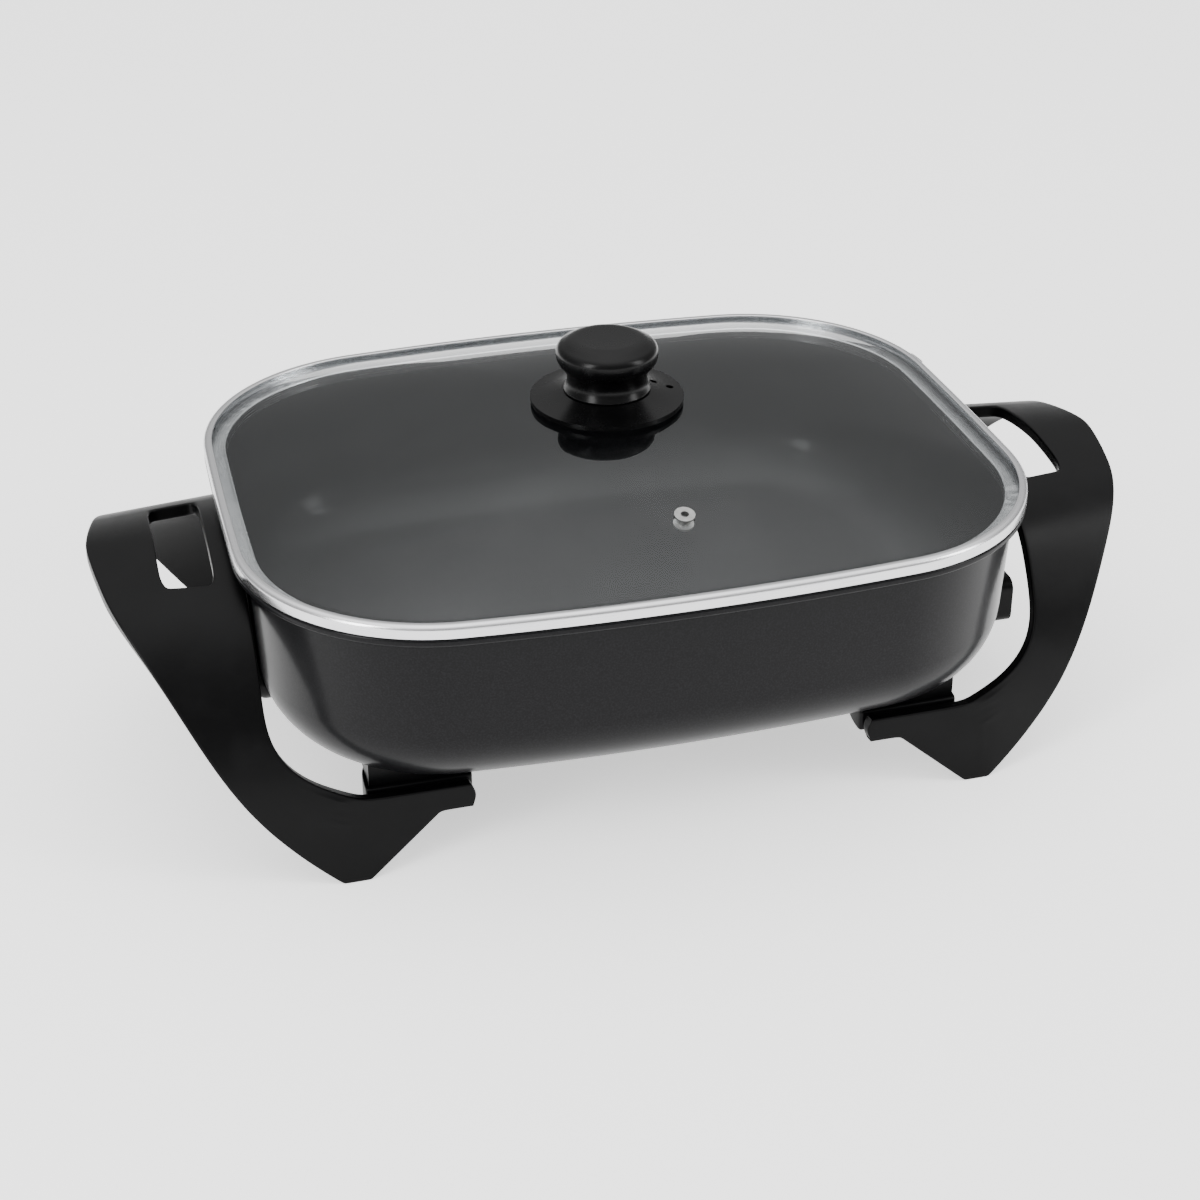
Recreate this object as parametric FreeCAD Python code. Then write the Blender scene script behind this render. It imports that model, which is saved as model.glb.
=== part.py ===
# Electric skillet: a rectangular cast pan on two handle-and-leg mouldings, with a lift-off glass lid.
# Millimetres. X runs along the length, -Y is the front, Z is up from the surface the feet stand on.
import FreeCAD, Part
import math
import os

from FreeCAD import Vector

# Pan
PAN_LENGTH = 400.0
PAN_WIDTH = 318.0
LONG_SIDE_RADIUS = 1275.0
SHORT_SIDE_RADIUS = 3000.0
CORNER_RADIUS = 100.0
UNDERSIDE_HEIGHT = 44.0
PAN_DEPTH = 96.0
PAN_WALL = 3.2
PAN_FLOOR = 5.0
RIM_OVERHANG = 6.0
RIM_THICKNESS = 4.0
WALL_TAPER = 5.0
BOTTOM_RADIUS = 40.0

# Heating element and its inlet
ELEMENT_DIAMETER = 7.0
ELEMENT_LENGTH = 220.0
ELEMENT_WIDTH = 140.0
ELEMENT_BEND = 45.0
ELEMENT_TAIL_BEND = 14.0
ELEMENT_RIDGE_WIDTH = 16.0
ELEMENT_RIDGE_DEPTH = 5.0
TERMINAL_SPACING = 26.0
TERMINAL_DIAMETER = 4.0
TERMINAL_CORE_DIAMETER = 3.0
TERMINAL_LENGTH = 16.0
INSULATOR_DIAMETER = 9.0
INSULATOR_LENGTH = 5.0
SENSOR_TUBE_DIAMETER = 9.0
SENSOR_TUBE_WALL = 1.0
SENSOR_TUBE_LENGTH = 60.0
GUARD_WIDTH = 84.0
GUARD_BOTTOM = 32.0
GUARD_DEPTH = 32.0
GUARD_WALL = 3.0
GUARD_CORNER = 6.0
GUARD_FLANGE_REACH = 48.0
GUARD_CHANNEL_WIDTH = 44.0

# Handle-and-leg mouldings
HANDLE_TOP = 134.5
HANDLE_THICKNESS = 6.5
CROWN_RADIUS = 233.0
CROWN_ANGLE = 13.5
SHOULDER_RADIUS = 53.0
SHOULDER_ANGLE = 55.0
FLANK_RADIUS = 162.0
FLANK_ANGLE = 82.5
HANDLE_FORWARD = 13.0
LEG_TURN = 9.0
TURN_START = 165.0
FOOT_CENTRE = 159.0
FOOT_WIDTH = 13.0
# Pairs: share of the reach out from the foot to the grip, share of the grip's height
LEG_SWEEP = ((0.28, 0.19), (0.50, 0.40), (0.66, 0.64), (0.84, 0.85))
# Pairs: distance back from the inner bar, share of the way up from the pan's underside
INNER_SWEEP = ((0.0, 0.60), (6.0, 0.25), (20.0, 0.07))
TAB_ROOT = 42.0
TAB_END = 99.0
TAB_NOTCH = 117.0
TAB_BOTTOM = 30.0
SHELF_THICKNESS = 12.0
SHELF_DEPTH = 34.0
SHELF_LENGTH = 52.0
SPACER_INSET = 2.0
SPACER_SETBACK = 12.0
SPACER_DEPTH = 20.0
INNER_BAR_CLEARANCE = 0.6
INNER_BAR_WIDTH = 13.0
GRIP_WIDTH = 33.0
WINDOW_WIDTH = 24.9
WINDOW_LENGTH = 100.0
WINDOW_CORNER = 10.0
APRON_WIDTH = 122.0
APRON_THICKNESS = 7.0
APRON_BOTTOM = 58.0
APRON_CORNER = 14.0

# Screws
LEG_SCREW_DIAMETER = 4.0
LEG_SCREW_HEAD = 8.0
LEG_SCREW_HEAD_HEIGHT = 3.0
LEG_SCREW_BITE = 3.5
WASHER_THICKNESS = 1.0
WASHER_DIAMETER = 11.0
END_SCREW_SPACING = 60.0
END_SCREW_HEIGHT = 96.0
END_LUG_DIAMETER = 12.0
END_LUG_LENGTH = 1.0
RECESS_DEPTH = 1.4
RECESS_WIDTH = 1.0
RECESS_LENGTH = 4.8

# Lid
BAND_LIP_WIDTH = 4.5
BAND_SHEET = 1.2
BAND_SKIRT_DEPTH = 5.0
BAND_SEAM_WIDTH = 12.0
BAND_SEAM_THICKNESS = 0.6
BAND_SEAM_Y = 60.0
GLASS_THICKNESS = 4.0
GLASS_FLAT_RIM = 7.0
DOME_RISE = 29.0
DOME_POWER = 2.2
EYELET_X = 8.0
EYELET_Y = -107.0
EYELET_BORE = 4.0
EYELET_DIAMETER = 10.0
EYELET_LIP = 1.0

# Knob
KNOB_SKIRT_DIAMETER = 78.0
KNOB_SKIRT_EDGE = 2.5
KNOB_SKIRT_MIDDLE = 3.6
KNOB_SKIRT_HEIGHT = 6.0
KNOB_DIAMETER = 51.5
KNOB_FOOT_DIAMETER = 45.0
KNOB_NECK_DIAMETER = 39.0
KNOB_NECK_HEIGHT = 7.5
KNOB_WAIST_HEIGHT = 19.7
KNOB_EDGE_HEIGHT = 24.4
KNOB_HEIGHT = 28.0
KNOB_CROWN_DIAMETER = 40.0
KNOB_DISH = 1.0
KNOB_INSERT_DIAMETER = 9.0
KNOB_INSERT_LENGTH = 15.0
KNOB_SCREW_DIAMETER = 5.0
KNOB_SCREW_BITE = 12.0
KNOB_WASHER_THICKNESS = 1.2
KNOB_WASHER_DIAMETER = 20.0
KNOB_GASKET_THICKNESS = 1.5
SKIRT_HOLE_DIAMETER = 4.0
# Pairs: radius, angle in degrees
SKIRT_HOLES = ((25.6, 7.0), (32.7, -3.0))

# Clearances
FIT = 0.3
LID_GAP = 0.3
LID_SIDE_GAP = 0.9
SCREW_CLEARANCE = 0.5
FAR = 400.0

rim_top = UNDERSIDE_HEIGHT + PAN_DEPTH
half_length = PAN_LENGTH / 2
half_width = PAN_WIDTH / 2
inner_bar = half_length - RIM_OVERHANG + INNER_BAR_CLEARANCE
window_start = inner_bar + INNER_BAR_WIDTH
handle_reach = window_start + WINDOW_WIDTH + GRIP_WIDTH
element_height = UNDERSIDE_HEIGHT - ELEMENT_RIDGE_DEPTH + ELEMENT_DIAMETER / 2


def box(x0, x1, y0, y1, z0, z1):
    """A box between two corners."""
    return Part.makeBox(x1 - x0, y1 - y0, z1 - z0, Vector(x0, y0, z0))


def rod(diameter, length, start, direction):
    """A plain cylinder from a start point."""
    return Part.makeCylinder(diameter / 2, length, Vector(*start), Vector(*direction))


def mirrored(shape, across):
    """A copy of a shape mirrored through the origin plane across an axis."""
    return shape.mirror(Vector(0, 0, 0), Vector(*across))


def outline(inset, z, share=1.0):
    """The pan's outline, eight tangent arcs, drawn in by an inset and scaled about the centre."""
    long_centre = Vector(0, half_width - LONG_SIDE_RADIUS, 0)
    short_centre = Vector(half_length - SHORT_SIDE_RADIUS, 0, 0)
    reach_long = LONG_SIDE_RADIUS - CORNER_RADIUS
    reach_short = SHORT_SIDE_RADIUS - CORNER_RADIUS
    between = short_centre - long_centre
    gap = between.Length
    along = between * (1 / gap)
    foot = (reach_long ** 2 - reach_short ** 2 + gap ** 2) / (2 * gap)
    rise = math.sqrt(reach_long ** 2 - foot ** 2)
    corner = long_centre + along * foot + Vector(along.y, -along.x, 0) * rise
    long_way = (corner - long_centre).normalize()
    short_way = (corner - short_centre).normalize()
    middle_way = (long_way + short_way).normalize()
    on_long = corner + long_way * (CORNER_RADIUS - inset)
    on_corner = corner + middle_way * (CORNER_RADIUS - inset)
    on_short = corner + short_way * (CORNER_RADIUS - inset)
    long_middle = Vector(0, half_width - inset, 0)
    short_middle = Vector(half_length - inset, 0, 0)

    def place(point, sx, sy):
        return Vector(point.x * sx * share, point.y * sy * share, z)

    arcs = []
    for sx, sy, forward in ((1, 1, True), (-1, 1, False), (-1, -1, True), (1, -1, False)):
        points = [place(on_short, sx, sy), place(on_corner, sx, sy), place(on_long, sx, sy)]
        if not forward:
            points.reverse()
        arcs.append(points)
    sides = [place(long_middle, 1, 1), place(short_middle, -1, 1),
             place(long_middle, 1, -1), place(short_middle, 1, 1)]
    edges = []
    for index, points in enumerate(arcs):
        following = arcs[(index + 1) % 4]
        edges.append(Part.Arc(*points).toShape())
        edges.append(Part.Arc(points[2], sides[index], following[0]).toShape())
    return Part.Wire(edges)


def slab(inset, z0, z1):
    """A flat plate with the pan's outline."""
    return Part.Face(outline(inset, z0)).extrude(Vector(0, 0, z1 - z0))


def tapered_tub(inset, z_bottom, z_top, radius):
    """A solid tub: the outline drawn in by the wall taper toward the bottom, with a rounded bottom edge."""
    upper = outline(inset, z_top)
    lower = outline(inset + WALL_TAPER, z_bottom)
    tub = Part.makeLoft([lower, upper], True, True)
    low_edges = [edge for edge in tub.Edges if edge.BoundBox.ZMax < z_bottom + 0.01]
    return tub.makeFillet(radius, low_edges)


def pan_envelope(grow):
    """The outside of the pan below its rim, grown by a distance."""
    return tapered_tub(RIM_OVERHANG - grow, UNDERSIDE_HEIGHT - grow, rim_top - RIM_THICKNESS,
                       BOTTOM_RADIUS + grow)


def wall_reach(z, grow):
    """How far out in X the end wall stands at a height, grown by a distance."""
    upper = rim_top - RIM_THICKNESS
    lower = UNDERSIDE_HEIGHT - grow
    return half_length - RIM_OVERHANG + grow - WALL_TAPER * (upper - z) / (upper - lower)


def element_path():
    """The element's route under the pan: a rounded loop, open at the inlet end."""
    z = element_height
    hx = ELEMENT_LENGTH / 2
    hy = ELEMENT_WIDTH / 2
    leg = TERMINAL_SPACING / 2
    bend = ELEMENT_BEND
    tail_bend = ELEMENT_TAIL_BEND
    half = math.sqrt(0.5)
    tail = terminal_start()
    points = []
    for side in (1, -1):
        inner = leg + tail_bend
        run = [
            ("line", (tail, side * leg), (hx + tail_bend, side * leg)),
            ("arc", (hx + tail_bend, side * leg),
             (hx + tail_bend * (1 - half), side * (inner - tail_bend * half)), (hx, side * inner)),
            ("line", (hx, side * inner), (hx, side * (hy - bend))),
            ("arc", (hx, side * (hy - bend)), (hx - bend + bend * half, side * (hy - bend + bend * half)),
             (hx - bend, side * hy)),
            ("line", (hx - bend, side * hy), (-hx + bend, side * hy)),
            ("arc", (-hx + bend, side * hy), (-hx + bend - bend * half, side * (hy - bend + bend * half)),
             (-hx, side * (hy - bend))),
        ]
        if side == -1:
            run = [(kind,) + tuple(reversed(ends)) for kind, *ends in reversed(run)]
            points.append(("line", (-hx, hy - bend), (-hx, -hy + bend)))
        points.extend(run)
    edges = []
    for kind, *ends in points:
        places = [Vector(x, y, z) for x, y in ends]
        if kind == "arc":
            edges.append(Part.Arc(*places).toShape())
        elif (places[1] - places[0]).Length > 0.01:
            edges.append(Part.LineSegment(*places).toShape())
    return Part.Wire(edges)


def swept_round(path, diameter):
    """A round bar along a path."""
    start = path.Edges[0].valueAt(path.Edges[0].FirstParameter)
    way = path.Edges[0].tangentAt(path.Edges[0].FirstParameter)
    ring = Part.Wire(Part.makeCircle(diameter / 2, start, way))
    return path.makePipeShell([ring], True, False)


def element_ridge():
    """The cast ridge on the underside that holds the element."""
    hx = ELEMENT_LENGTH / 2
    hy = ELEMENT_WIDTH / 2
    half = ELEMENT_RIDGE_WIDTH / 2
    z0 = UNDERSIDE_HEIGHT - ELEMENT_RIDGE_DEPTH
    z1 = UNDERSIDE_HEIGHT + PAN_FLOOR / 2

    def plate(grow):
        block = box(-hx - grow, hx + grow, -hy - grow, hy + grow, z0, z1)
        uprights = [edge for edge in block.Edges if edge.BoundBox.ZLength > (z1 - z0) / 2]
        return block.makeFillet(ELEMENT_BEND + grow, uprights)

    ring = plate(half).cut(plate(-half))
    gap = box(hx - ELEMENT_BEND, hx + FAR, -ELEMENT_BEND - half, ELEMENT_BEND + half, z0 - 1, z1 + 1)
    return ring.cut(gap)


def end_lugs():
    """Cast lugs on both end walls that take the handles' screws."""
    lugs = []
    wall = half_length - RIM_OVERHANG - WALL_TAPER
    for way in (1, -1):
        for side in (1, -1):
            y = side * END_SCREW_SPACING / 2
            lugs.append(rod(END_LUG_DIAMETER, WALL_TAPER + END_LUG_LENGTH,
                            (way * wall, y, END_SCREW_HEIGHT), (way, 0, 0)))
    return lugs


def pan():
    """One casting: rim, tapered walls, rounded bottom edge, element ridge and lugs, hollow above."""
    body = pan_envelope(0).fuse(slab(0, rim_top - RIM_THICKNESS, rim_top))
    body = body.fuse(end_lugs() + [element_ridge()])
    inner_bottom = UNDERSIDE_HEIGHT + PAN_FLOOR
    hollow = tapered_tub(RIM_OVERHANG + PAN_WALL, inner_bottom, rim_top, BOTTOM_RADIUS - PAN_WALL)
    body = body.cut(hollow)
    body = body.cut(swept_round(element_path(), ELEMENT_DIAMETER + FIT))
    wall = half_length - RIM_OVERHANG - WALL_TAPER
    tip = wall + WALL_TAPER + END_LUG_LENGTH
    for way in (1, -1):
        for side in (1, -1):
            y = side * END_SCREW_SPACING / 2
            body = body.cut(rod(LEG_SCREW_DIAMETER, LEG_SCREW_BITE,
                                (way * tip, y, END_SCREW_HEIGHT), (-way, 0, 0)))
    for x, y in leg_screw_places() + guard_screw_places():
        body = body.cut(rod(LEG_SCREW_DIAMETER, LEG_SCREW_BITE, (x, y, UNDERSIDE_HEIGHT), (0, 0, 1)))
    return body.removeSplitter()


def arch_offset(angle, depth):
    """A point of the handle's end profile: three tangent arcs by the slope angle, drawn in by a depth."""
    crown = Vector(0, 0, HANDLE_TOP - CROWN_RADIUS)

    def way(degrees):
        turn = math.radians(degrees)
        return Vector(0, math.sin(turn), math.cos(turn))

    shoulder = crown + way(CROWN_ANGLE) * (CROWN_RADIUS - SHOULDER_RADIUS)
    flank = shoulder + way(SHOULDER_ANGLE) * (SHOULDER_RADIUS - FLANK_RADIUS)
    if angle <= CROWN_ANGLE:
        return crown + way(angle) * (CROWN_RADIUS - depth)
    if angle <= SHOULDER_ANGLE:
        return shoulder + way(angle) * (SHOULDER_RADIUS - depth)
    return flank + way(angle) * (FLANK_RADIUS - depth)


def arch_arcs(depth):
    """The end profile's three arcs from the middle to the knee, drawn in by a depth."""
    arcs = []
    for start, stop in ((0, CROWN_ANGLE), (CROWN_ANGLE, SHOULDER_ANGLE), (SHOULDER_ANGLE, FLANK_ANGLE)):
        points = [arch_offset(angle, depth) for angle in (start, (start + stop) / 2, stop)]
        arcs.append(Part.Arc(*points).toShape())
    return arcs


def arch_profile(x, shift):
    """The rear half of the handle seen from its end: a bar that arches over and runs down to the foot."""
    slope = math.radians(FLANK_ANGLE)
    down = Vector(0, math.cos(slope), -math.sin(slope))
    outer_knee = arch_offset(FLANK_ANGLE, 0)
    inner_knee = arch_offset(FLANK_ANGLE, HANDLE_THICKNESS)
    outer_foot = outer_knee + down * (outer_knee.z / math.sin(slope))
    inner_foot = inner_knee + down * (inner_knee.z / math.sin(slope))
    lines = [
        Part.LineSegment(outer_knee, outer_foot).toShape(),
        Part.LineSegment(outer_foot, inner_foot).toShape(),
        Part.LineSegment(inner_foot, inner_knee).toShape(),
    ]
    end = Part.LineSegment(arch_offset(0, HANDLE_THICKNESS), arch_offset(0, 0)).toShape()
    wire = Part.Wire(arch_arcs(0) + lines + arch_arcs(HANDLE_THICKNESS)[::-1] + [end])
    wire.translate(Vector(x, -shift, 0))
    return wire


def arch():
    """The rear half of the bent bar, straight over the tab, turned in toward the grip, trimmed in side view."""
    turn = math.tan(math.radians(LEG_TURN))
    inner = TAB_END - SHELF_LENGTH
    outer = handle_reach + HANDLE_THICKNESS
    straight = Part.makeLoft([arch_profile(inner, 0), arch_profile(TURN_START, 0)], True, True)
    turned = Part.makeLoft([arch_profile(TURN_START, 0),
                            arch_profile(outer, (outer - TURN_START) * turn)], True, True)
    side = side_view()
    return straight.common(side).fuse(turned.common(side))


def side_view():
    """The moulding seen from the front: V foot, tab, sweeping outer edge and inner edge by the pan."""
    foot_in = FOOT_CENTRE - FOOT_WIDTH / 2
    foot_out = FOOT_CENTRE + FOOT_WIDTH / 2
    bar = inner_bar
    top = HANDLE_TOP + 1
    rise = HANDLE_TOP - UNDERSIDE_HEIGHT
    sweep = handle_reach - foot_out
    outer_points = [Vector(foot_out, 0, 0)]
    outer_points += [Vector(foot_out + out * sweep, 0, up * HANDLE_TOP) for out, up in LEG_SWEEP]
    outer_points.append(Vector(handle_reach, 0, top))
    inner_points = [Vector(bar - back, 0, UNDERSIDE_HEIGHT + up * rise) for back, up in INNER_SWEEP]
    inner_points.append(Vector(bar - TAB_ROOT, 0, TAB_BOTTOM + SHELF_THICKNESS))

    def smooth(points):
        curve = Part.BSplineCurve()
        curve.interpolate(points)
        return curve.toShape()

    def straight(first, last):
        return Part.LineSegment(first, last).toShape()

    top_in = Vector(bar, 0, top)
    tab_top = Vector(TAB_END, 0, TAB_BOTTOM + SHELF_THICKNESS)
    tab_low = Vector(TAB_END, 0, TAB_BOTTOM)
    notch = Vector(TAB_NOTCH, 0, TAB_BOTTOM)
    heel = Vector(foot_in, 0, 0)
    wire = Part.Wire([
        smooth(outer_points),
        straight(outer_points[-1], top_in),
        straight(top_in, inner_points[0]),
        smooth(inner_points),
        straight(inner_points[-1], tab_top),
        straight(tab_top, tab_low),
        straight(tab_low, notch),
        straight(notch, heel),
        straight(heel, outer_points[0]),
    ])
    return Part.Face(wire).extrude(Vector(0, FAR, 0))


def tab_front():
    """How far the tab's outer face stands from the moulding's own middle."""
    slope = math.radians(FLANK_ANGLE)
    knee = arch_offset(FLANK_ANGLE, 0)
    return knee.y + (knee.z - TAB_BOTTOM) / math.tan(slope)


def leg_screw_places():
    """Plan places of the four screws that go up through the shelves into the pan."""
    x = TAB_END + SHELF_LENGTH / 2
    y = tab_front() - SPACER_SETBACK - SPACER_DEPTH / 2
    return [(sx * x, sy * y - HANDLE_FORWARD) for sx in (1, -1) for sy in (1, -1)]


def shelf():
    """The flat shelf under the pan that the leg's screw passes up through."""
    y1 = tab_front() - FIT
    y0 = y1 - SHELF_DEPTH
    plate = box(TAB_END, TAB_END + SHELF_LENGTH, y0, y1, TAB_BOTTOM, TAB_BOTTOM + SHELF_THICKNESS)
    uprights = [edge for edge in plate.Edges
                if edge.BoundBox.ZLength > 1 and edge.BoundBox.YMax < y0 + 1]
    return plate.makeFillet(SHELF_THICKNESS, uprights)


def finger_window():
    """The opening between the grip and the inner bar."""
    x1 = window_start + WINDOW_WIDTH
    hole = box(window_start, x1, -WINDOW_LENGTH / 2, WINDOW_LENGTH / 2, UNDERSIDE_HEIGHT, HANDLE_TOP + 1)
    uprights = [edge for edge in hole.Edges if edge.BoundBox.ZLength > 1]
    return hole.makeFillet(min(WINDOW_CORNER, WINDOW_WIDTH / 2 - FIT), uprights)


def under_arch():
    """The space under the middle of the arch's thickness, where the moulding stands on the pan."""
    depth = HANDLE_THICKNESS / 2
    knee = arch_offset(FLANK_ANGLE, depth)
    middle = Vector(0, 0, knee.z)
    sides = [Part.LineSegment(knee, middle).toShape(),
             Part.LineSegment(middle, arch_offset(0, depth)).toShape()]
    half = Part.Face(Part.Wire(arch_arcs(depth) + sides)).extrude(Vector(FAR, 0, 0))
    whole = half.fuse(mirrored(half, (0, 1, 0)))
    whole.translate(Vector(0, -HANDLE_FORWARD, 0))
    return whole


def apron():
    """The skirt of the moulding that hangs under the inner bar and follows the pan's end wall."""
    shell = pan_envelope(APRON_THICKNESS).common(under_arch())
    block = box(half_length / 2, half_length + APRON_THICKNESS, -APRON_WIDTH / 2, APRON_WIDTH / 2,
                APRON_BOTTOM, HANDLE_TOP)
    low = [edge for edge in block.Edges
           if edge.BoundBox.XLength > 1 and edge.BoundBox.ZMax < APRON_BOTTOM + 1]
    block = block.makeFillet(APRON_CORNER, low)
    return shell.common(block)


def handle():
    """One handle-and-leg moulding, at the inlet end."""
    half = arch().fuse(shelf())
    whole = half.fuse(mirrored(half, (0, 1, 0))).cut(finger_window())
    whole.translate(Vector(0, -HANDLE_FORWARD, 0))
    whole = whole.fuse(apron()).cut(pan_envelope(FIT))
    reach = half_length + APRON_THICKNESS
    for side in (1, -1):
        y = side * END_SCREW_SPACING / 2
        whole = whole.cut(rod(END_LUG_DIAMETER + 2 * FIT, half_length + END_LUG_LENGTH - RIM_OVERHANG + FIT,
                              (0, y, END_SCREW_HEIGHT), (1, 0, 0)))
        whole = whole.cut(rod(LEG_SCREW_DIAMETER + SCREW_CLEARANCE, reach,
                              (0, y, END_SCREW_HEIGHT), (1, 0, 0)))
    for x, y in leg_screw_places():
        if x > 0:
            whole = whole.cut(rod(LEG_SCREW_DIAMETER + SCREW_CLEARANCE, SHELF_THICKNESS + 2,
                                  (x, y, TAB_BOTTOM - 1), (0, 0, 1)))
            whole = whole.cut(leg_spacer(x, y))
    return whole.removeSplitter()


def leg_spacer(x, y):
    """A block on a shelf, shaped above to the pan's rounded corner and drilled for the screw."""
    half_x = SHELF_LENGTH / 2 - SPACER_INSET
    half_y = SPACER_DEPTH / 2
    z0 = TAB_BOTTOM + SHELF_THICKNESS
    block = box(x - half_x, x + half_x, y - half_y, y + half_y, z0, UNDERSIDE_HEIGHT + BOTTOM_RADIUS / 2)
    block = block.cut(pan_envelope(0))
    return block.cut(rod(LEG_SCREW_DIAMETER + SCREW_CLEARANCE, FAR, (x, y, 0), (0, 0, 1)))


def screw(length, place, direction):
    """A round-headed screw with a cross recess; its shank starts under the head at the place."""
    way = Vector(*direction)
    start = Vector(*place)
    shank = Part.makeCylinder(LEG_SCREW_DIAMETER / 2, length, start, way)
    crown = Part.makeCylinder(LEG_SCREW_HEAD / 2, LEG_SCREW_HEAD_HEIGHT, start, way * -1)
    rims = [edge for edge in crown.Edges if edge.Length > LEG_SCREW_HEAD and
            (edge.CenterOfMass - start).Length > LEG_SCREW_HEAD_HEIGHT / 2]
    crown = crown.makeFillet(LEG_SCREW_HEAD_HEIGHT / 2, rims)
    arm = RECESS_LENGTH / 2
    cross = box(-arm, arm, -RECESS_WIDTH / 2, RECESS_WIDTH / 2, -RECESS_DEPTH, RECESS_DEPTH)
    cross = cross.fuse(box(-RECESS_WIDTH / 2, RECESS_WIDTH / 2, -arm, arm, -RECESS_DEPTH, RECESS_DEPTH))
    cross.Placement = FreeCAD.Placement(start - way * LEG_SCREW_HEAD_HEIGHT,
                                        FreeCAD.Rotation(Vector(0, 0, 1), way))
    return shank.fuse(crown).cut(cross)


def washer(place):
    """A flat washer under a screw head."""
    x, y, z = place
    disc = rod(WASHER_DIAMETER, WASHER_THICKNESS, (x, y, z), (0, 0, 1))
    return disc.cut(rod(LEG_SCREW_DIAMETER + SCREW_CLEARANCE, FAR, (x, y, 0), (0, 0, 1)))


def leg_screws():
    """The four screws that go up through shelf and spacer into the pan."""
    length = LEG_SCREW_BITE - FIT + UNDERSIDE_HEIGHT - TAB_BOTTOM + WASHER_THICKNESS
    z = TAB_BOTTOM - WASHER_THICKNESS
    return Part.makeCompound([screw(length, (x, y, z), (0, 0, 1)) for x, y in leg_screw_places()])


def leg_washers():
    """The four washers under the leg screws."""
    z = TAB_BOTTOM - WASHER_THICKNESS
    return Part.makeCompound([washer((x, y, z)) for x, y in leg_screw_places()])


def end_screws(way):
    """The two screws that hold an apron to the end wall's lugs."""
    face = wall_reach(END_SCREW_HEIGHT, APRON_THICKNESS)
    tip = half_length - RIM_OVERHANG + END_LUG_LENGTH - LEG_SCREW_BITE + FIT
    screws = [screw(face - tip, (way * face, side * END_SCREW_SPACING / 2, END_SCREW_HEIGHT), (-way, 0, 0))
              for side in (1, -1)]
    return Part.makeCompound(screws)


def terminal_start():
    """The X where the element's tube ends and its insulators begin."""
    return half_length - RIM_OVERHANG - WALL_TAPER - INSULATOR_LENGTH


def insulators():
    """Ceramic beads that close the element's ends round the terminal pins."""
    x = terminal_start()
    beads = []
    for side in (1, -1):
        y = side * TERMINAL_SPACING / 2
        bead = rod(INSULATOR_DIAMETER, INSULATOR_LENGTH, (x, y, element_height), (1, 0, 0))
        beads.append(bead.cut(rod(TERMINAL_CORE_DIAMETER, FAR, (x, y, element_height), (1, 0, 0))))
    return Part.makeCompound(beads)


def terminal_pins():
    """The two pins that a plug-in control would grip, each with a thinner core inside its bead."""
    face = terminal_start() + INSULATOR_LENGTH
    pins = []
    for side in (1, -1):
        y = side * TERMINAL_SPACING / 2
        pin = rod(TERMINAL_DIAMETER, TERMINAL_LENGTH, (face, y, element_height), (1, 0, 0))
        tip = [edge for edge in pin.Edges
               if edge.BoundBox.XMin > face + TERMINAL_LENGTH / 2 and edge.BoundBox.XLength < 0.01]
        pin = pin.makeFillet(TERMINAL_DIAMETER * 0.3, tip)
        core = rod(TERMINAL_CORE_DIAMETER, INSULATOR_LENGTH, (terminal_start(), y, element_height), (1, 0, 0))
        pins.append(pin.fuse(core))
    return Part.makeCompound(pins)


def sensor_tube():
    """The thin tube between the pins that takes the control's sensing rod."""
    end = terminal_start() + INSULATOR_LENGTH
    start = end - SENSOR_TUBE_LENGTH
    z = UNDERSIDE_HEIGHT - SENSOR_TUBE_DIAMETER / 2
    tube = rod(SENSOR_TUBE_DIAMETER, SENSOR_TUBE_LENGTH, (start, 0, z), (1, 0, 0))
    return tube.cut(rod(SENSOR_TUBE_DIAMETER - 2 * SENSOR_TUBE_WALL, SENSOR_TUBE_LENGTH,
                        (start + SENSOR_TUBE_WALL, 0, z), (1, 0, 0)))


def guard_screw_places():
    """Plan places of the guard's two screws, on its flange under the pan's flat bottom."""
    x = terminal_start() - GUARD_FLANGE_REACH + LEG_SCREW_HEAD
    y = (GUARD_WIDTH + GUARD_CHANNEL_WIDTH) / 4
    return [(x, y), (x, -y)]


def guard():
    """The hood round the terminals: open outward, slotted at its back, flanged under the pan."""
    z0 = GUARD_BOTTOM
    z1 = APRON_BOTTOM
    x0 = terminal_start()
    x1 = x0 + GUARD_DEPTH
    hw = GUARD_WIDTH / 2
    wall = GUARD_WALL
    hood = box(x0, x1, -hw, hw, z0, z1)
    long_edges = [edge for edge in hood.Edges if edge.BoundBox.XLength > 1]
    hood = hood.makeFillet(GUARD_CORNER, long_edges)
    hollow = box(x0 + INSULATOR_LENGTH, x1 + 1, -hw + wall, hw - wall, z0 + wall, z1 - wall)
    long_edges = [edge for edge in hollow.Edges if edge.BoundBox.XLength > 1]
    hood = hood.cut(hollow.makeFillet(GUARD_CORNER - wall, long_edges))
    flange = box(x0 - GUARD_FLANGE_REACH, x0 + wall, -hw, hw, UNDERSIDE_HEIGHT - wall, UNDERSIDE_HEIGHT)
    half_channel = GUARD_CHANNEL_WIDTH / 2
    flange = flange.cut(box(0, x0, -half_channel, half_channel, 0, UNDERSIDE_HEIGHT + 1))
    for x, y in guard_screw_places():
        flange = flange.cut(rod(LEG_SCREW_DIAMETER + SCREW_CLEARANCE, FAR, (x, y, 0), (0, 0, 1)))
    whole = hood.fuse(flange)
    whole = whole.cut(box(x0 - 1, x0 + INSULATOR_LENGTH + 1, -half_channel, half_channel, z0 + wall, z1 - wall))
    return whole.cut(pan_envelope(0)).removeSplitter()


def guard_screws():
    """The two screws that hold the guard's flange to the pan's underside."""
    z = UNDERSIDE_HEIGHT - GUARD_WALL
    length = GUARD_WALL + LEG_SCREW_BITE - FIT
    return Part.makeCompound([screw(length, (x, y, z), (0, 0, 1)) for x, y in guard_screw_places()])


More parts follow.
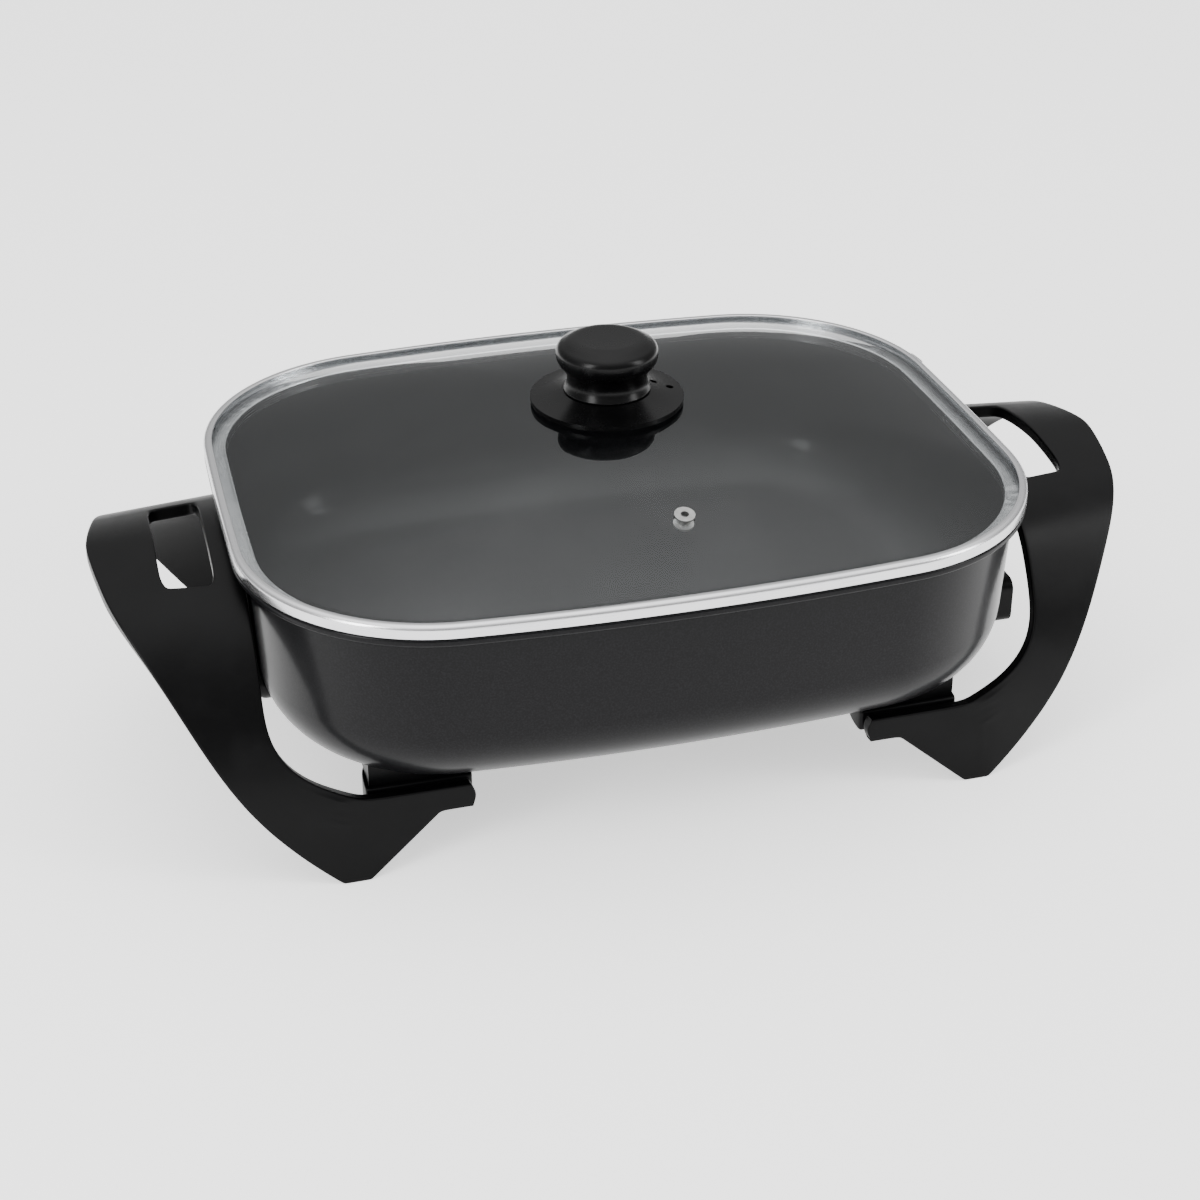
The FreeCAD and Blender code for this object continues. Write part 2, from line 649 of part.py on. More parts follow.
def dome(inset, base):
    """A domed solid on the lid's outline: height falls from the centre by a power of the outline's share."""
    shares = (1.0, 0.93, 0.82, 0.66, 0.48, 0.28, 0.08)
    rings = [outline(inset, base + DOME_RISE * (1 - share ** DOME_POWER), share) for share in shares]
    return Part.makeLoft(rings, True, False)


def glass_base():
    """The height of the glass rim's underside, inside the band."""
    return rim_top + LID_GAP + BAND_SHEET


def glass_inset():
    """How far the glass edge lies inside the band's outline."""
    return BAND_SHEET + FIT


def dome_top():
    """The height of the glass at the knob."""
    return glass_base() + GLASS_THICKNESS + DOME_RISE


def on_glass(x, y):
    """The point of the glass's outer surface over a plan point."""
    base = glass_base() + GLASS_THICKNESS
    column = Part.makeLine(Vector(x, y, base), Vector(x, y, base + 2 * DOME_RISE))
    surface = dome(glass_inset() + GLASS_FLAT_RIM, base)
    return Vector(x, y, column.common(surface).BoundBox.ZMax)


def eyelet_placement():
    """The frame of the steam eyelet: on the glass, square to it."""
    here = on_glass(EYELET_X, EYELET_Y)
    along = on_glass(EYELET_X + EYELET_BORE, EYELET_Y) - here
    across = on_glass(EYELET_X, EYELET_Y + EYELET_BORE) - here
    return FreeCAD.Placement(here, FreeCAD.Rotation(Vector(0, 0, 1), along.cross(across)))


def lid_glass():
    """Domed tempered glass with a flat rim, drilled for the knob's screw and the steam eyelet."""
    base = glass_base()
    inset = glass_inset()
    body = slab(inset, base, base + GLASS_THICKNESS)
    body = body.fuse(dome(inset + GLASS_FLAT_RIM, base + GLASS_THICKNESS))
    body = body.cut(dome(inset + GLASS_FLAT_RIM + GLASS_THICKNESS / 2, base))
    body = body.cut(rod(KNOB_SCREW_DIAMETER + 2 * KNOB_GASKET_THICKNESS, FAR, (0, 0, 0), (0, 0, 1)))
    drill = rod(EYELET_BORE + 2 * EYELET_LIP + FIT, 4 * GLASS_THICKNESS, (0, 0, -2 * GLASS_THICKNESS), (0, 0, 1))
    drill.Placement = eyelet_placement()
    return body.cut(drill)


def lid_band():
    """Rolled steel band: a channel round the glass rim, with a skirt that drops inside the pan."""
    z0 = rim_top + LID_GAP
    base = glass_base()
    channel_top = base + GLASS_THICKNESS + FIT
    z1 = channel_top + BAND_SHEET
    skirt_inset = RIM_OVERHANG + PAN_WALL + LID_SIDE_GAP
    inner = skirt_inset + BAND_SHEET
    ring = slab(0, z0, z1).cut(slab(BAND_LIP_WIDTH, z0 - 1, z1 + 1))
    ring = ring.cut(slab(BAND_SHEET, base, channel_top))
    ledge = slab(BAND_SHEET / 2, z0, base).cut(slab(inner, z0 - 1, base + 1))
    skirt = slab(skirt_inset, z0 - BAND_SKIRT_DEPTH, base)
    skirt = skirt.cut(slab(inner, z0 - BAND_SKIRT_DEPTH - 1, base + 1))
    return ring.fuse([ledge, skirt]).removeSplitter()


def band_seam():
    """The short strap that closes the band's two ends at the right-hand side."""
    z0 = rim_top + LID_GAP + FIT
    z1 = glass_base() + GLASS_THICKNESS + FIT
    shell = slab(-BAND_SEAM_THICKNESS, z0, z1).cut(slab(0, z0 - 1, z1 + 1))
    return shell.common(box(0, FAR, BAND_SEAM_Y, BAND_SEAM_Y + BAND_SEAM_WIDTH, z0, z1))


def steam_eyelet():
    """A flared steel tube through the glass with a lip on each side."""
    radius = EYELET_DIAMETER / 2
    core = EYELET_BORE / 2 + EYELET_LIP
    low = -GLASS_THICKNESS - FIT
    sleeve = rod(2 * core, 2 * EYELET_LIP + FIT - low, (0, 0, low - EYELET_LIP), (0, 0, 1))
    upper = rod(2 * radius, EYELET_LIP, (0, 0, FIT), (0, 0, 1))
    lower = rod(2 * radius, EYELET_LIP, (0, 0, low - EYELET_LIP), (0, 0, 1))
    body = sleeve.fuse([upper, lower])
    body = body.cut(rod(EYELET_BORE, 4 * GLASS_THICKNESS, (0, 0, -2 * GLASS_THICKNESS), (0, 0, 1)))
    body.Placement = eyelet_placement()
    return body


def turned(points, smooth):
    """A solid turned about the lid's axis from radius and height pairs; the named run is a smooth curve."""
    places = [Vector(radius, 0, z) for radius, z in points]
    first, last = smooth
    curve = Part.BSplineCurve()
    curve.interpolate(places[first:last + 1])
    edges = [curve.toShape()]
    ring = places[last:] + places[:first + 1]
    for start, end in zip(ring, ring[1:]):
        edges.append(Part.LineSegment(start, end).toShape())
    return Part.Face(Part.Wire(edges)).revolve(Vector(0, 0, 0), Vector(0, 0, 1), 360)


def knob_skirt():
    """The wide disc under the knob, thin at its rim, with two small vent holes."""
    z = dome_top() + FIT
    rim = KNOB_SKIRT_DIAMETER / 2
    foot = KNOB_FOOT_DIAMETER / 2 + FIT
    bore = KNOB_INSERT_DIAMETER / 2 + FIT
    points = [(rim, z), (rim, z + KNOB_SKIRT_EDGE),
              ((rim + foot) / 2, z + KNOB_SKIRT_MIDDLE),
              (foot, z + KNOB_SKIRT_HEIGHT), (bore, z + KNOB_SKIRT_HEIGHT), (bore, z)]
    disc = turned(points, (1, 3))
    for radius, degrees in SKIRT_HOLES:
        turn = math.radians(degrees)
        place = (radius * math.cos(turn), radius * math.sin(turn), z - 1)
        disc = disc.cut(rod(SKIRT_HOLE_DIAMETER, FAR, place, (0, 0, 1)))
    return disc


def knob():
    """The grip: a neck that swells into a rounded cap, bored from below for its insert."""
    z = dome_top() + FIT + KNOB_SKIRT_HEIGHT
    foot = KNOB_FOOT_DIAMETER / 2
    neck = KNOB_NECK_DIAMETER / 2
    wide = KNOB_DIAMETER / 2
    crown = KNOB_CROWN_DIAMETER / 2
    bore = KNOB_INSERT_DIAMETER / 2
    points = [(foot, z), (neck, z + KNOB_NECK_HEIGHT), (wide, z + KNOB_WAIST_HEIGHT),
              ((wide + crown) / 2, z + KNOB_EDGE_HEIGHT), (crown, z + KNOB_HEIGHT - KNOB_DISH / 2),
              (0, z + KNOB_HEIGHT - KNOB_DISH),
              (0, z + KNOB_INSERT_LENGTH), (bore, z + KNOB_INSERT_LENGTH), (bore, z)]
    return turned(points, (0, 4))


def knob_insert():
    """The threaded brass insert moulded into the knob."""
    z = dome_top() + FIT + KNOB_SKIRT_HEIGHT
    core = rod(KNOB_INSERT_DIAMETER, KNOB_INSERT_LENGTH, (0, 0, z), (0, 0, 1))
    return core.cut(rod(KNOB_SCREW_DIAMETER, KNOB_SCREW_BITE + FIT, (0, 0, z), (0, 0, 1)))


def knob_gasket():
    """The soft ring between the glass's underside and the screw's washer."""
    z = dome_top() - GLASS_THICKNESS - FIT
    disc = rod(KNOB_WASHER_DIAMETER, KNOB_GASKET_THICKNESS, (0, 0, z - KNOB_GASKET_THICKNESS), (0, 0, 1))
    return disc.cut(rod(KNOB_SCREW_DIAMETER + FIT, FAR, (0, 0, 0), (0, 0, 1)))


def knob_washer():
    """The steel washer under the gasket."""
    z = dome_top() - GLASS_THICKNESS - FIT - KNOB_GASKET_THICKNESS - KNOB_WASHER_THICKNESS
    disc = rod(KNOB_WASHER_DIAMETER, KNOB_WASHER_THICKNESS, (0, 0, z), (0, 0, 1))
    return disc.cut(rod(KNOB_SCREW_DIAMETER + FIT, FAR, (0, 0, 0), (0, 0, 1)))


def knob_screw():
    """The screw that clamps knob and skirt to the glass from below."""
    z = dome_top() - GLASS_THICKNESS - FIT - KNOB_GASKET_THICKNESS - KNOB_WASHER_THICKNESS
    top = dome_top() + FIT + KNOB_SKIRT_HEIGHT + KNOB_SCREW_BITE
    shank = rod(KNOB_SCREW_DIAMETER - FIT / 2, top - z, (0, 0, z), (0, 0, 1))
    head = screw(LEG_SCREW_HEAD_HEIGHT, (0, 0, z), (0, 0, 1))
    return shank.fuse(head)


def make_all():
    """Every sub-part by its node name."""
    right = handle()
    nodes = {
        "pan": pan(),
        "heating_element": swept_round(element_path(), ELEMENT_DIAMETER),
        "terminal_insulators": insulators(),
        "terminal_pins": terminal_pins(),
        "sensor_tube": sensor_tube(),
        "terminal_guard": guard(),
        "guard_screws": guard_screws(),
        "handle_right": right,
        "handle_left": mirrored(right, (1, 0, 0)),
        "leg_screws": leg_screws(),
        "leg_washers": leg_washers(),
        "end_screws_right": end_screws(1),
        "end_screws_left": end_screws(-1),
        "lid_glass": lid_glass(),
        "lid_band": lid_band(),
        "band_seam": band_seam(),
        "steam_eyelet": steam_eyelet(),
        "knob_skirt": knob_skirt(),
        "knob": knob(),
        "knob_insert": knob_insert(),
        "knob_gasket": knob_gasket(),
        "knob_washer": knob_washer(),
        "knob_screw": knob_screw(),
    }
    for x, y in leg_screw_places():
        end = "right" if x > 0 else "left"
        side = "rear" if y > 0 else "front"
        nodes["leg_spacer_" + side + "_" + end] = leg_spacer(x, y)
    return nodes


os.makedirs("parts", exist_ok=True)
for name, shape in make_all().items():
    shape.exportStep("parts/" + name + ".step")
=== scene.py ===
import math

import bmesh
import bpy
import numpy as np
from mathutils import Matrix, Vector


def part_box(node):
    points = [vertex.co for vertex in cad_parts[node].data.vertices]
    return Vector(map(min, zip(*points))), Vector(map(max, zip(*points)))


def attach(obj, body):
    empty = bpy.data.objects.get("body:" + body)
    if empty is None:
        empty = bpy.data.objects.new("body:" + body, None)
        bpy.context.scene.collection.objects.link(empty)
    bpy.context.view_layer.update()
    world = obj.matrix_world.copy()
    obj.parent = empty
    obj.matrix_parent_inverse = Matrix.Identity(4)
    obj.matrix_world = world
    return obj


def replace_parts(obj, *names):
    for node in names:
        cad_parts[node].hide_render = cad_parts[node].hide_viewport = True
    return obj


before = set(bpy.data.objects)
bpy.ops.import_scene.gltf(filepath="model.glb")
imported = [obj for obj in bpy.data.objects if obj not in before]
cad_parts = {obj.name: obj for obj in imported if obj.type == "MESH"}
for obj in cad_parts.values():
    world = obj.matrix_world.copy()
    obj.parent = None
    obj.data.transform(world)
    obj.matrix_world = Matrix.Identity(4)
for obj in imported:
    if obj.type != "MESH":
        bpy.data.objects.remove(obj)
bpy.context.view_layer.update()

# Camera. It stands in front of the skillet, a little to the left and above, with a long lens.
# The place was worked out from the lid's outline; the shifts centre the skillet as it is framed.
ORBIT_CENTRE = np.array([0.0, 0.0, 0.144])
ORBIT_DISTANCE = 1.12997
ORBIT_AZIMUTH = math.radians(-15.565)
ORBIT_ELEVATION = math.radians(26.373)
LENS_LENGTH = 65.913
SENSOR_WIDTH = 36.0
FRAME_SHIFT = (-0.00585, -0.1228)

lens = bpy.data.cameras.new("studio_camera")
lens.sensor_width = SENSOR_WIDTH
lens.lens = LENS_LENGTH
lens.shift_x, lens.shift_y = FRAME_SHIFT
camera = bpy.data.objects.new("studio_camera", lens)
camera.location = ORBIT_CENTRE + ORBIT_DISTANCE * np.array([
    math.sin(ORBIT_AZIMUTH) * math.cos(ORBIT_ELEVATION),
    -math.cos(ORBIT_AZIMUTH) * math.cos(ORBIT_ELEVATION),
    math.sin(ORBIT_ELEVATION),
])
camera.rotation_euler = (math.pi / 2 - ORBIT_ELEVATION, 0.0, ORBIT_AZIMUTH)
bpy.context.scene.collection.objects.link(camera)
bpy.context.scene.camera = camera

# Pan. One deep aluminium casting with tapered walls, a flat rim and large soft corners, coated
# inside and out with a charcoal non-stick finish. The rim carries the lid.
MM = 0.001
HALF_LENGTH, HALF_WIDTH, RIM_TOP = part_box("pan")[1]
LONG_SIDE_RADIUS = 1275 * MM
SHORT_SIDE_RADIUS = 3000 * MM
CORNER_RADIUS = 100 * MM
UNDERSIDE = 44 * MM
PAN_FLOOR = 5 * MM
PAN_WALL = 3.2 * MM
RIM_OVERHANG = 6 * MM
RIM_THICKNESS = 4 * MM
WALL_TAPER = 5 * MM
BOTTOM_RADIUS = 40 * MM
FLOOR_INSET = 60 * MM
RIM_ROUNDS = np.array([1.4, 1.3, 1.6]) * MM
FLOOR_RINGS = 9
MERGE_GAP = 0.001 * MM
SHARP_ANGLE = math.radians(50)
FLECK_SIZE, FLECK_RANGE = 0.9 * MM, (0.42, 0.72)
TOOTH_SIZE, TOOTH_DEPTH = 0.7 * MM, 0.012 * MM
COAT_CLOUD_SIZE = 60 * MM
COAT_ROUGHNESS, COAT_CLOUDING = 0.34, 0.10
COAT_DARK = (0.002, 0.002, 0.0024, 1)
COAT_PALE = (0.006, 0.006, 0.007, 1)


class Wire:
    """A node's output that arithmetic is written on; each operation adds one Math node."""

    def __init__(self, finish, socket):
        self.finish = finish
        self.socket = socket

    def maths(self, operation, first, second):
        return self.finish.node("ShaderNodeMath", {"operation": operation}, {0: first, 1: second})

    def __add__(self, other):
        return self.maths("ADD", self, other)

    def __rsub__(self, other):
        return self.maths("SUBTRACT", other, self)

    def __mul__(self, other):
        return self.maths("MULTIPLY", self, other)

    def __pow__(self, other):
        return self.maths("POWER", self, other)

    __radd__ = __add__
    __rmul__ = __mul__


class Nodes:
    """A node tree: one method sets or links a socket, and one adds any node."""

    def __init__(self, tree):
        self.tree = tree

    def join(self, socket, value):
        if isinstance(value, Wire):
            self.tree.links.new(value.socket, socket)
        else:
            socket.default_value = value

    def node(self, kind, settings, sockets, output=0):
        made = self.tree.nodes.new(kind)
        for name, value in settings.items():
            if name == "stops":
                for stop, (place, shade) in zip(made.color_ramp.elements, value):
                    stop.position = place
                    stop.color = (shade, shade, shade, 1)
            else:
                setattr(made, name, value)
        for name, value in sockets.items():
            self.join(made.inputs[name], value)
        return Wire(self, made.outputs[output])


class Finish(Nodes):
    """A material: one main shader with its own settings, and what feeds it."""

    def __init__(self, name, **constants):
        self.material = bpy.data.materials.new(name)
        self.material.use_nodes = True
        super().__init__(self.material.node_tree)
        self.shader = self.tree.nodes["Principled BSDF"]
        for socket, value in constants.items():
            self.shader.inputs[socket.replace("_", " ")].default_value = value

    def grain(self, size, detail=3.0, stretch=(1, 1, 1), space="Object"):
        """Noise with grains of one size in metres, stretched along the axes."""
        place = self.node("ShaderNodeTexCoord", {}, {}, space)
        place = self.node("ShaderNodeMapping", {}, {"Vector": place, "Scale": stretch})
        sockets = {"Vector": place, "Scale": 1 / size, "Detail": detail}
        return self.node("ShaderNodeTexNoise", {}, sockets)

    def ramp(self, value, low, high):
        """The value's run from low to high spread over 0 to 1, and held at the ends."""
        return self.node("ShaderNodeValToRGB", {"stops": ((low, 0.0), (high, 1.0))}, {0: value})

    def tint(self, share, first, second):
        """The first colour going over to the second by a share."""
        return self.node("ShaderNodeMix", {"data_type": "RGBA"}, {0: share, 6: first, 7: second}, 2)

    def feed(self, **sockets):
        """Sets or links the main shader's sockets."""
        for name, value in sockets.items():
            self.join(self.shader.inputs[name.replace("_", " ")], value)

    def bump(self, height, depth):
        """Small relief on the surface, its depth in metres."""
        sockets = {"Height": height, "Strength": 1.0, "Distance": depth}
        self.feed(Normal=self.node("ShaderNodeBump", {}, sockets))


def pan_coat():
    """Charcoal non-stick coating: a dense fine fleck, faint clouds in its gloss, and a soft tooth."""
    coat = Finish("pan_coat", Specular_IOR_Level=0.06, Coat_Weight=0.55, Coat_IOR=1.2,
                  Coat_Roughness=0.16)
    fleck = coat.ramp(coat.grain(FLECK_SIZE), *FLECK_RANGE)
    cloud = coat.grain(COAT_CLOUD_SIZE)
    coat.feed(Base_Color=coat.tint(fleck, COAT_DARK, COAT_PALE),
              Roughness=COAT_ROUGHNESS + COAT_CLOUDING * cloud)
    coat.bump(coat.grain(TOOTH_SIZE, detail=4.0), TOOTH_DEPTH)
    return coat.material


def outline_run(side_steps=8, corner_steps=30, length_steps=18):
    """Points and outward directions round the pan's outline. A quarter is three tangent arcs, point =
    centre + radius * (cos turn, sin turn) with the turn from 0 to 90 degrees; the rest is mirrored."""
    long_centre = np.array([0.0, HALF_WIDTH - LONG_SIDE_RADIUS])
    short_centre = np.array([HALF_LENGTH - SHORT_SIDE_RADIUS, 0.0])
    reach_long = LONG_SIDE_RADIUS - CORNER_RADIUS
    reach_short = SHORT_SIDE_RADIUS - CORNER_RADIUS
    between = short_centre - long_centre
    gap = np.linalg.norm(between)
    along = between / gap
    foot = (reach_long ** 2 - reach_short ** 2 + gap ** 2) / (2 * gap)
    rise = math.sqrt(reach_long ** 2 - foot ** 2)
    corner = long_centre + along * foot + np.array([along[1], -along[0]]) * rise
    first_turn = math.atan2(*(corner - short_centre)[::-1])
    second_turn = math.atan2(*(corner - long_centre)[::-1])
    arcs = ((short_centre, SHORT_SIDE_RADIUS, 0.0, first_turn, side_steps),
            (corner, CORNER_RADIUS, first_turn, second_turn, corner_steps),
            (long_centre, LONG_SIDE_RADIUS, second_turn, math.pi / 2, length_steps))
    points = []
    ways = []
    for centre, radius, start, stop, steps in arcs:
        turn = np.linspace(start, stop, steps, endpoint=stop == math.pi / 2)
        way = np.stack([np.cos(turn), np.sin(turn)], 1)
        points.append(centre + radius * way)
        ways.append(way)

    def whole(quarter):
        """The quarter mirrored to the other three, with no point on an axis twice."""
        return np.concatenate([quarter[:-1], (quarter * (-1, 1))[:0:-1], -quarter[:-1],
                               (quarter * (1, -1))[:0:-1]])

    return whole(np.concatenate(points)), whole(np.concatenate(ways))


def rounded(corners, steps):
    """A run of points through corners given as across, height and radius: each corner becomes an arc
    tangent to both its sides, point = centre + a blend of the two end arms by the sine of the turn."""
    places = np.array([corner[:2] for corner in corners], float)
    run = [places[:1]]
    radii = [corner[2] for corner in corners[1:]]
    for before, here, after, radius in zip(places, places[1:], places[2:], radii):
        arm_in = (before - here) / np.linalg.norm(before - here)
        arm_out = (after - here) / np.linalg.norm(after - here)
        half = math.acos(np.clip(arm_in @ arm_out, -1, 1)) / 2
        middle = (arm_in + arm_out) / np.linalg.norm(arm_in + arm_out)
        centre = here + middle * radius / math.sin(half)
        start = here + arm_in * radius / math.tan(half) - centre
        stop = here + arm_out * radius / math.tan(half) - centre
        sweep = math.pi - 2 * half
        share = np.linspace(0, 1, steps + 1)[:, None]
        blend = np.sin((1 - share) * sweep) * start + np.sin(share * sweep) * stop
        run.append(centre + blend / math.sin(sweep))
    run.append(places[-1:])
    return np.concatenate(run)


def ringed(profile, shares, points, ways):
    """A grid of rings: ring = (outline - inset * outward way) * share, at the profile's height."""
    rings = (points[None] - profile[:, None, :1] * ways[None]) * shares[:, None, None]
    heights = np.broadcast_to(profile[:, None, 1:], rings.shape[:2] + (1,))
    return np.concatenate([rings, heights], 2)


def surface(name, grid, closed, material, body):
    """A piece from a grid of points. Columns join round; rows join round too when closed, and otherwise
    end in a point each. U is the length round the first full ring and V the length along the rows."""
    rows, columns = grid.shape[:2]
    index = np.arange(rows * columns).reshape(rows, columns)
    last = rows if closed else rows - 1
    below = np.roll(index, -1, 0)
    quads = np.stack([index, np.roll(index, -1, 1), np.roll(below, -1, 1), below], 2)[:last]
    quads = quads.reshape(-1, 4)
    places = grid.reshape(-1, 3)
    ring = grid[np.argmax(np.linalg.norm(np.ptp(grid, axis=1), axis=1))]
    round_way = np.concatenate([[0], np.cumsum(np.linalg.norm(np.roll(ring, -1, 0) - ring, axis=1))])
    row_steps = np.linalg.norm(np.roll(grid, -1, 0) - grid, axis=2).max(1)
    row_way = np.concatenate([[0], np.cumsum(row_steps)])
    u = np.stack([round_way[:-1], round_way[1:], round_way[1:], round_way[:-1]], 1)
    v = np.stack([row_way[:-1], row_way[:-1], row_way[1:], row_way[1:]], 1)[:last]
    uv = np.stack([np.broadcast_to(u[None], (last, columns, 4)),
                   np.broadcast_to(v[:, None], (last, columns, 4))], 3).reshape(-1, 4, 2)
    a, b, c, d = (places[quads[:, corner]] for corner in range(4))
    volume = np.einsum("ij,ij", a, np.cross(b, c)) + np.einsum("ij,ij", a, np.cross(c, d))
    if volume < 0:
        quads = quads[:, ::-1]
        uv = uv[:, ::-1]
    mesh = bpy.data.meshes.new(name)
    mesh.from_pydata(places.tolist(), [], quads.tolist())
    layer = mesh.uv_layers.new(name="UVMap")
    layer.data.foreach_set("uv", uv.astype(np.float32).ravel())
    joined = bmesh.new()
    joined.from_mesh(mesh)
    bmesh.ops.remove_doubles(joined, verts=joined.verts, dist=MERGE_GAP)
    joined.to_mesh(mesh)
    joined.free()
    mesh.shade_smooth()
    mesh.set_sharp_from_angle(angle=SHARP_ANGLE)
    return placed(name, mesh, material, body)


def placed(name, mesh, material, body):
    """Puts a finished mesh in the scene with its material and slot, riding its body."""
    piece = bpy.data.objects.new(name, mesh)
    bpy.context.scene.collection.objects.link(piece)
    mesh.materials.clear()
    mesh.materials.append(material)
    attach(piece, body)
    return piece


pan_points, pan_ways = outline_run()
wall_run = rounded([
    (FLOOR_INSET, UNDERSIDE + PAN_FLOOR, 0),
    (RIM_OVERHANG + PAN_WALL + WALL_TAPER, UNDERSIDE + PAN_FLOOR, BOTTOM_RADIUS - PAN_WALL),
    (RIM_OVERHANG + PAN_WALL, RIM_TOP, RIM_ROUNDS[0]),
    (0, RIM_TOP, RIM_ROUNDS[1]),
    (0, RIM_TOP - RIM_THICKNESS, RIM_ROUNDS[2]),
    (RIM_OVERHANG, RIM_TOP - RIM_THICKNESS, RIM_ROUNDS[2]),
    (RIM_OVERHANG + WALL_TAPER, UNDERSIDE, BOTTOM_RADIUS),
    (FLOOR_INSET, UNDERSIDE, 0),
], steps=12)
floor_shares = np.linspace(0, 1, FLOOR_RINGS + 1)
inner_floor = np.tile(wall_run[:1], (FLOOR_RINGS, 1))
outer_floor = np.tile(wall_run[-1:], (FLOOR_RINGS, 1))
pan_run = np.concatenate([inner_floor, wall_run, outer_floor])
pan_shares = np.concatenate([floor_shares[:-1], np.ones(len(wall_run)), floor_shares[:-1][::-1]])
coat = pan_coat()
pan = surface("pan_casting", ringed(pan_run, pan_shares, pan_points, pan_ways), False, coat,
              "base")
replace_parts(pan, "pan")

# Element ridge. A raised bed cast on the pan's underside, in which the element's tube is pressed.
# It follows the element's loop and is left open at the inlet end.
LOOP_HALF_LENGTH = 110 * MM
LOOP_HALF_WIDTH = 70 * MM
LOOP_BEND = 45 * MM
RIDGE_WIDTH = 16 * MM
RIDGE_BOTTOM = 39.8 * MM
RIDGE_ROOT = UNDERSIDE + PAN_FLOOR / 2
RIDGE_ROUNDS = np.array([0.3, 1.5]) * MM


def bar_along(path, section):
    """A bar along a flat path: point = path + side way * section across, at the section's height.
    Both ends close on a point."""
    way = np.gradient(path, axis=0)
    way /= np.linalg.norm(way, axis=1)[:, None]
    side = np.stack([-way[:, 1], way[:, 0]], 1)
    flat = path[:, None] + side[:, None] * section[None, :, :1]
    grid = np.concatenate([flat, np.broadcast_to(section[None, :, 1:], flat.shape[:2] + (1,))], 2)
    start = np.broadcast_to(grid[:1].mean(1, keepdims=True), grid[:1].shape)
    stop = np.broadcast_to(grid[-1:].mean(1, keepdims=True), grid[-1:].shape)
    return np.concatenate([start, grid, stop])


loop = rounded([(LOOP_HALF_LENGTH, 0, 0), (LOOP_HALF_LENGTH, LOOP_HALF_WIDTH, LOOP_BEND),
                (-LOOP_HALF_LENGTH, LOOP_HALF_WIDTH, LOOP_BEND),
                (-LOOP_HALF_LENGTH, -LOOP_HALF_WIDTH, LOOP_BEND),
                (LOOP_HALF_LENGTH, -LOOP_HALF_WIDTH, LOOP_BEND), (LOOP_HALF_LENGTH, 0, 0)], steps=16)
near_inlet = loop[:, 0] > LOOP_HALF_LENGTH - LOOP_BEND
inlet_side = near_inlet & (abs(loop[:, 1]) < LOOP_BEND + RIDGE_WIDTH / 2)
ridge_section = rounded([
    (0, RIDGE_ROOT, 0),
    (RIDGE_WIDTH / 2, RIDGE_ROOT, RIDGE_ROUNDS[0]),
    (RIDGE_WIDTH / 2, RIDGE_BOTTOM, RIDGE_ROUNDS[1]),
    (-RIDGE_WIDTH / 2, RIDGE_BOTTOM, RIDGE_ROUNDS[1]),
    (-RIDGE_WIDTH / 2, RIDGE_ROOT, RIDGE_ROUNDS[0]),
    (0, RIDGE_ROOT, 0),
], steps=4)[:-1]
surface("element_ridge", bar_along(loop[~inlet_side], ridge_section), False, coat, "base")

# Lid glass. A domed sheet of clear tempered glass on the pan's outline, with a narrow flat rim that
# the steel band holds.
GLASS_LOW, GLASS_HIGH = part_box("lid_glass")
GLASS_INSET = 1.5 * MM
GLASS_THICKNESS = 4 * MM
FLAT_RIM = 7 * MM
DOME_RISE = GLASS_HIGH[2] - GLASS_LOW[2] - GLASS_THICKNESS
DOME_POWER = 2.2
DOME_RINGS = 40
GLASS_ROUND = 1.2 * MM
GLASS_MIRROR = (0.93, 0.95, 0.96, 1)
GLASS_CLEAR = (0.965, 0.975, 0.975, 1)
GLASS_BENDING = 1.5
MIRROR_STRENGTH, SMEAR_STRENGTH = 0.9, 0.006
SMEAR_SIZE, SMEAR_RANGE = 45 * MM, (0.45, 0.75)
POLISH, SMEAR_DULLING = 0.02, 0.06


def tempered_glass():
    """Clear glass: see-through face on, mirror-like at a slant on the outward side of each face, with
    a few faint smears. Mirror share = (slant * its strength + smear * its strength) * (1 - inside)."""
    glass = Finish("tempered_glass", Metallic=1.0, Base_Color=GLASS_MIRROR)
    smear = glass.ramp(glass.grain(SMEAR_SIZE, detail=5.0, stretch=(1, 1, 0.3)), *SMEAR_RANGE)
    glass.feed(Roughness=POLISH + SMEAR_DULLING * smear)
    slant = glass.node("ShaderNodeFresnel", {}, {"IOR": GLASS_BENDING})
    inside = glass.node("ShaderNodeNewGeometry", {}, {}, "Backfacing")
    share = (slant * MIRROR_STRENGTH + SMEAR_STRENGTH * smear) * (1 - inside)
    clear = glass.node("ShaderNodeBsdfTransparent", {}, {"Color": GLASS_CLEAR})
    mirror = Wire(glass, glass.shader.outputs[0])
    mixed = glass.node("ShaderNodeMixShader", {}, {0: share, 1: clear, 2: mirror})
    glass.join(glass.tree.nodes["Material Output"].inputs["Surface"], mixed)
    return glass.material


def dome_run(inset, base, shares):
    """The dome's profile: height = base + rise * (1 - share to the dome's power)."""
    return np.stack([np.full_like(shares, inset), base + DOME_RISE * (1 - shares ** DOME_POWER)], 1)


dome_shares = np.sin(np.linspace(0, math.pi / 2, DOME_RINGS))
glass_rim = rounded([
    (GLASS_INSET + FLAT_RIM, GLASS_LOW[2] + GLASS_THICKNESS, 0),
    (GLASS_INSET, GLASS_LOW[2] + GLASS_THICKNESS, GLASS_ROUND),
    (GLASS_INSET, GLASS_LOW[2], GLASS_ROUND),
    (GLASS_INSET + FLAT_RIM + GLASS_THICKNESS / 2, GLASS_LOW[2], 0),
], steps=5)
glass_run = np.concatenate([
    dome_run(GLASS_INSET + FLAT_RIM, GLASS_LOW[2] + GLASS_THICKNESS, dome_shares)[:-1], glass_rim,
    dome_run(GLASS_INSET + FLAT_RIM + GLASS_THICKNESS / 2, GLASS_LOW[2], dome_shares)[:-1][::-1]])
glass_shares = np.concatenate([dome_shares[:-1], np.ones(len(glass_rim)), dome_shares[:-1][::-1]])
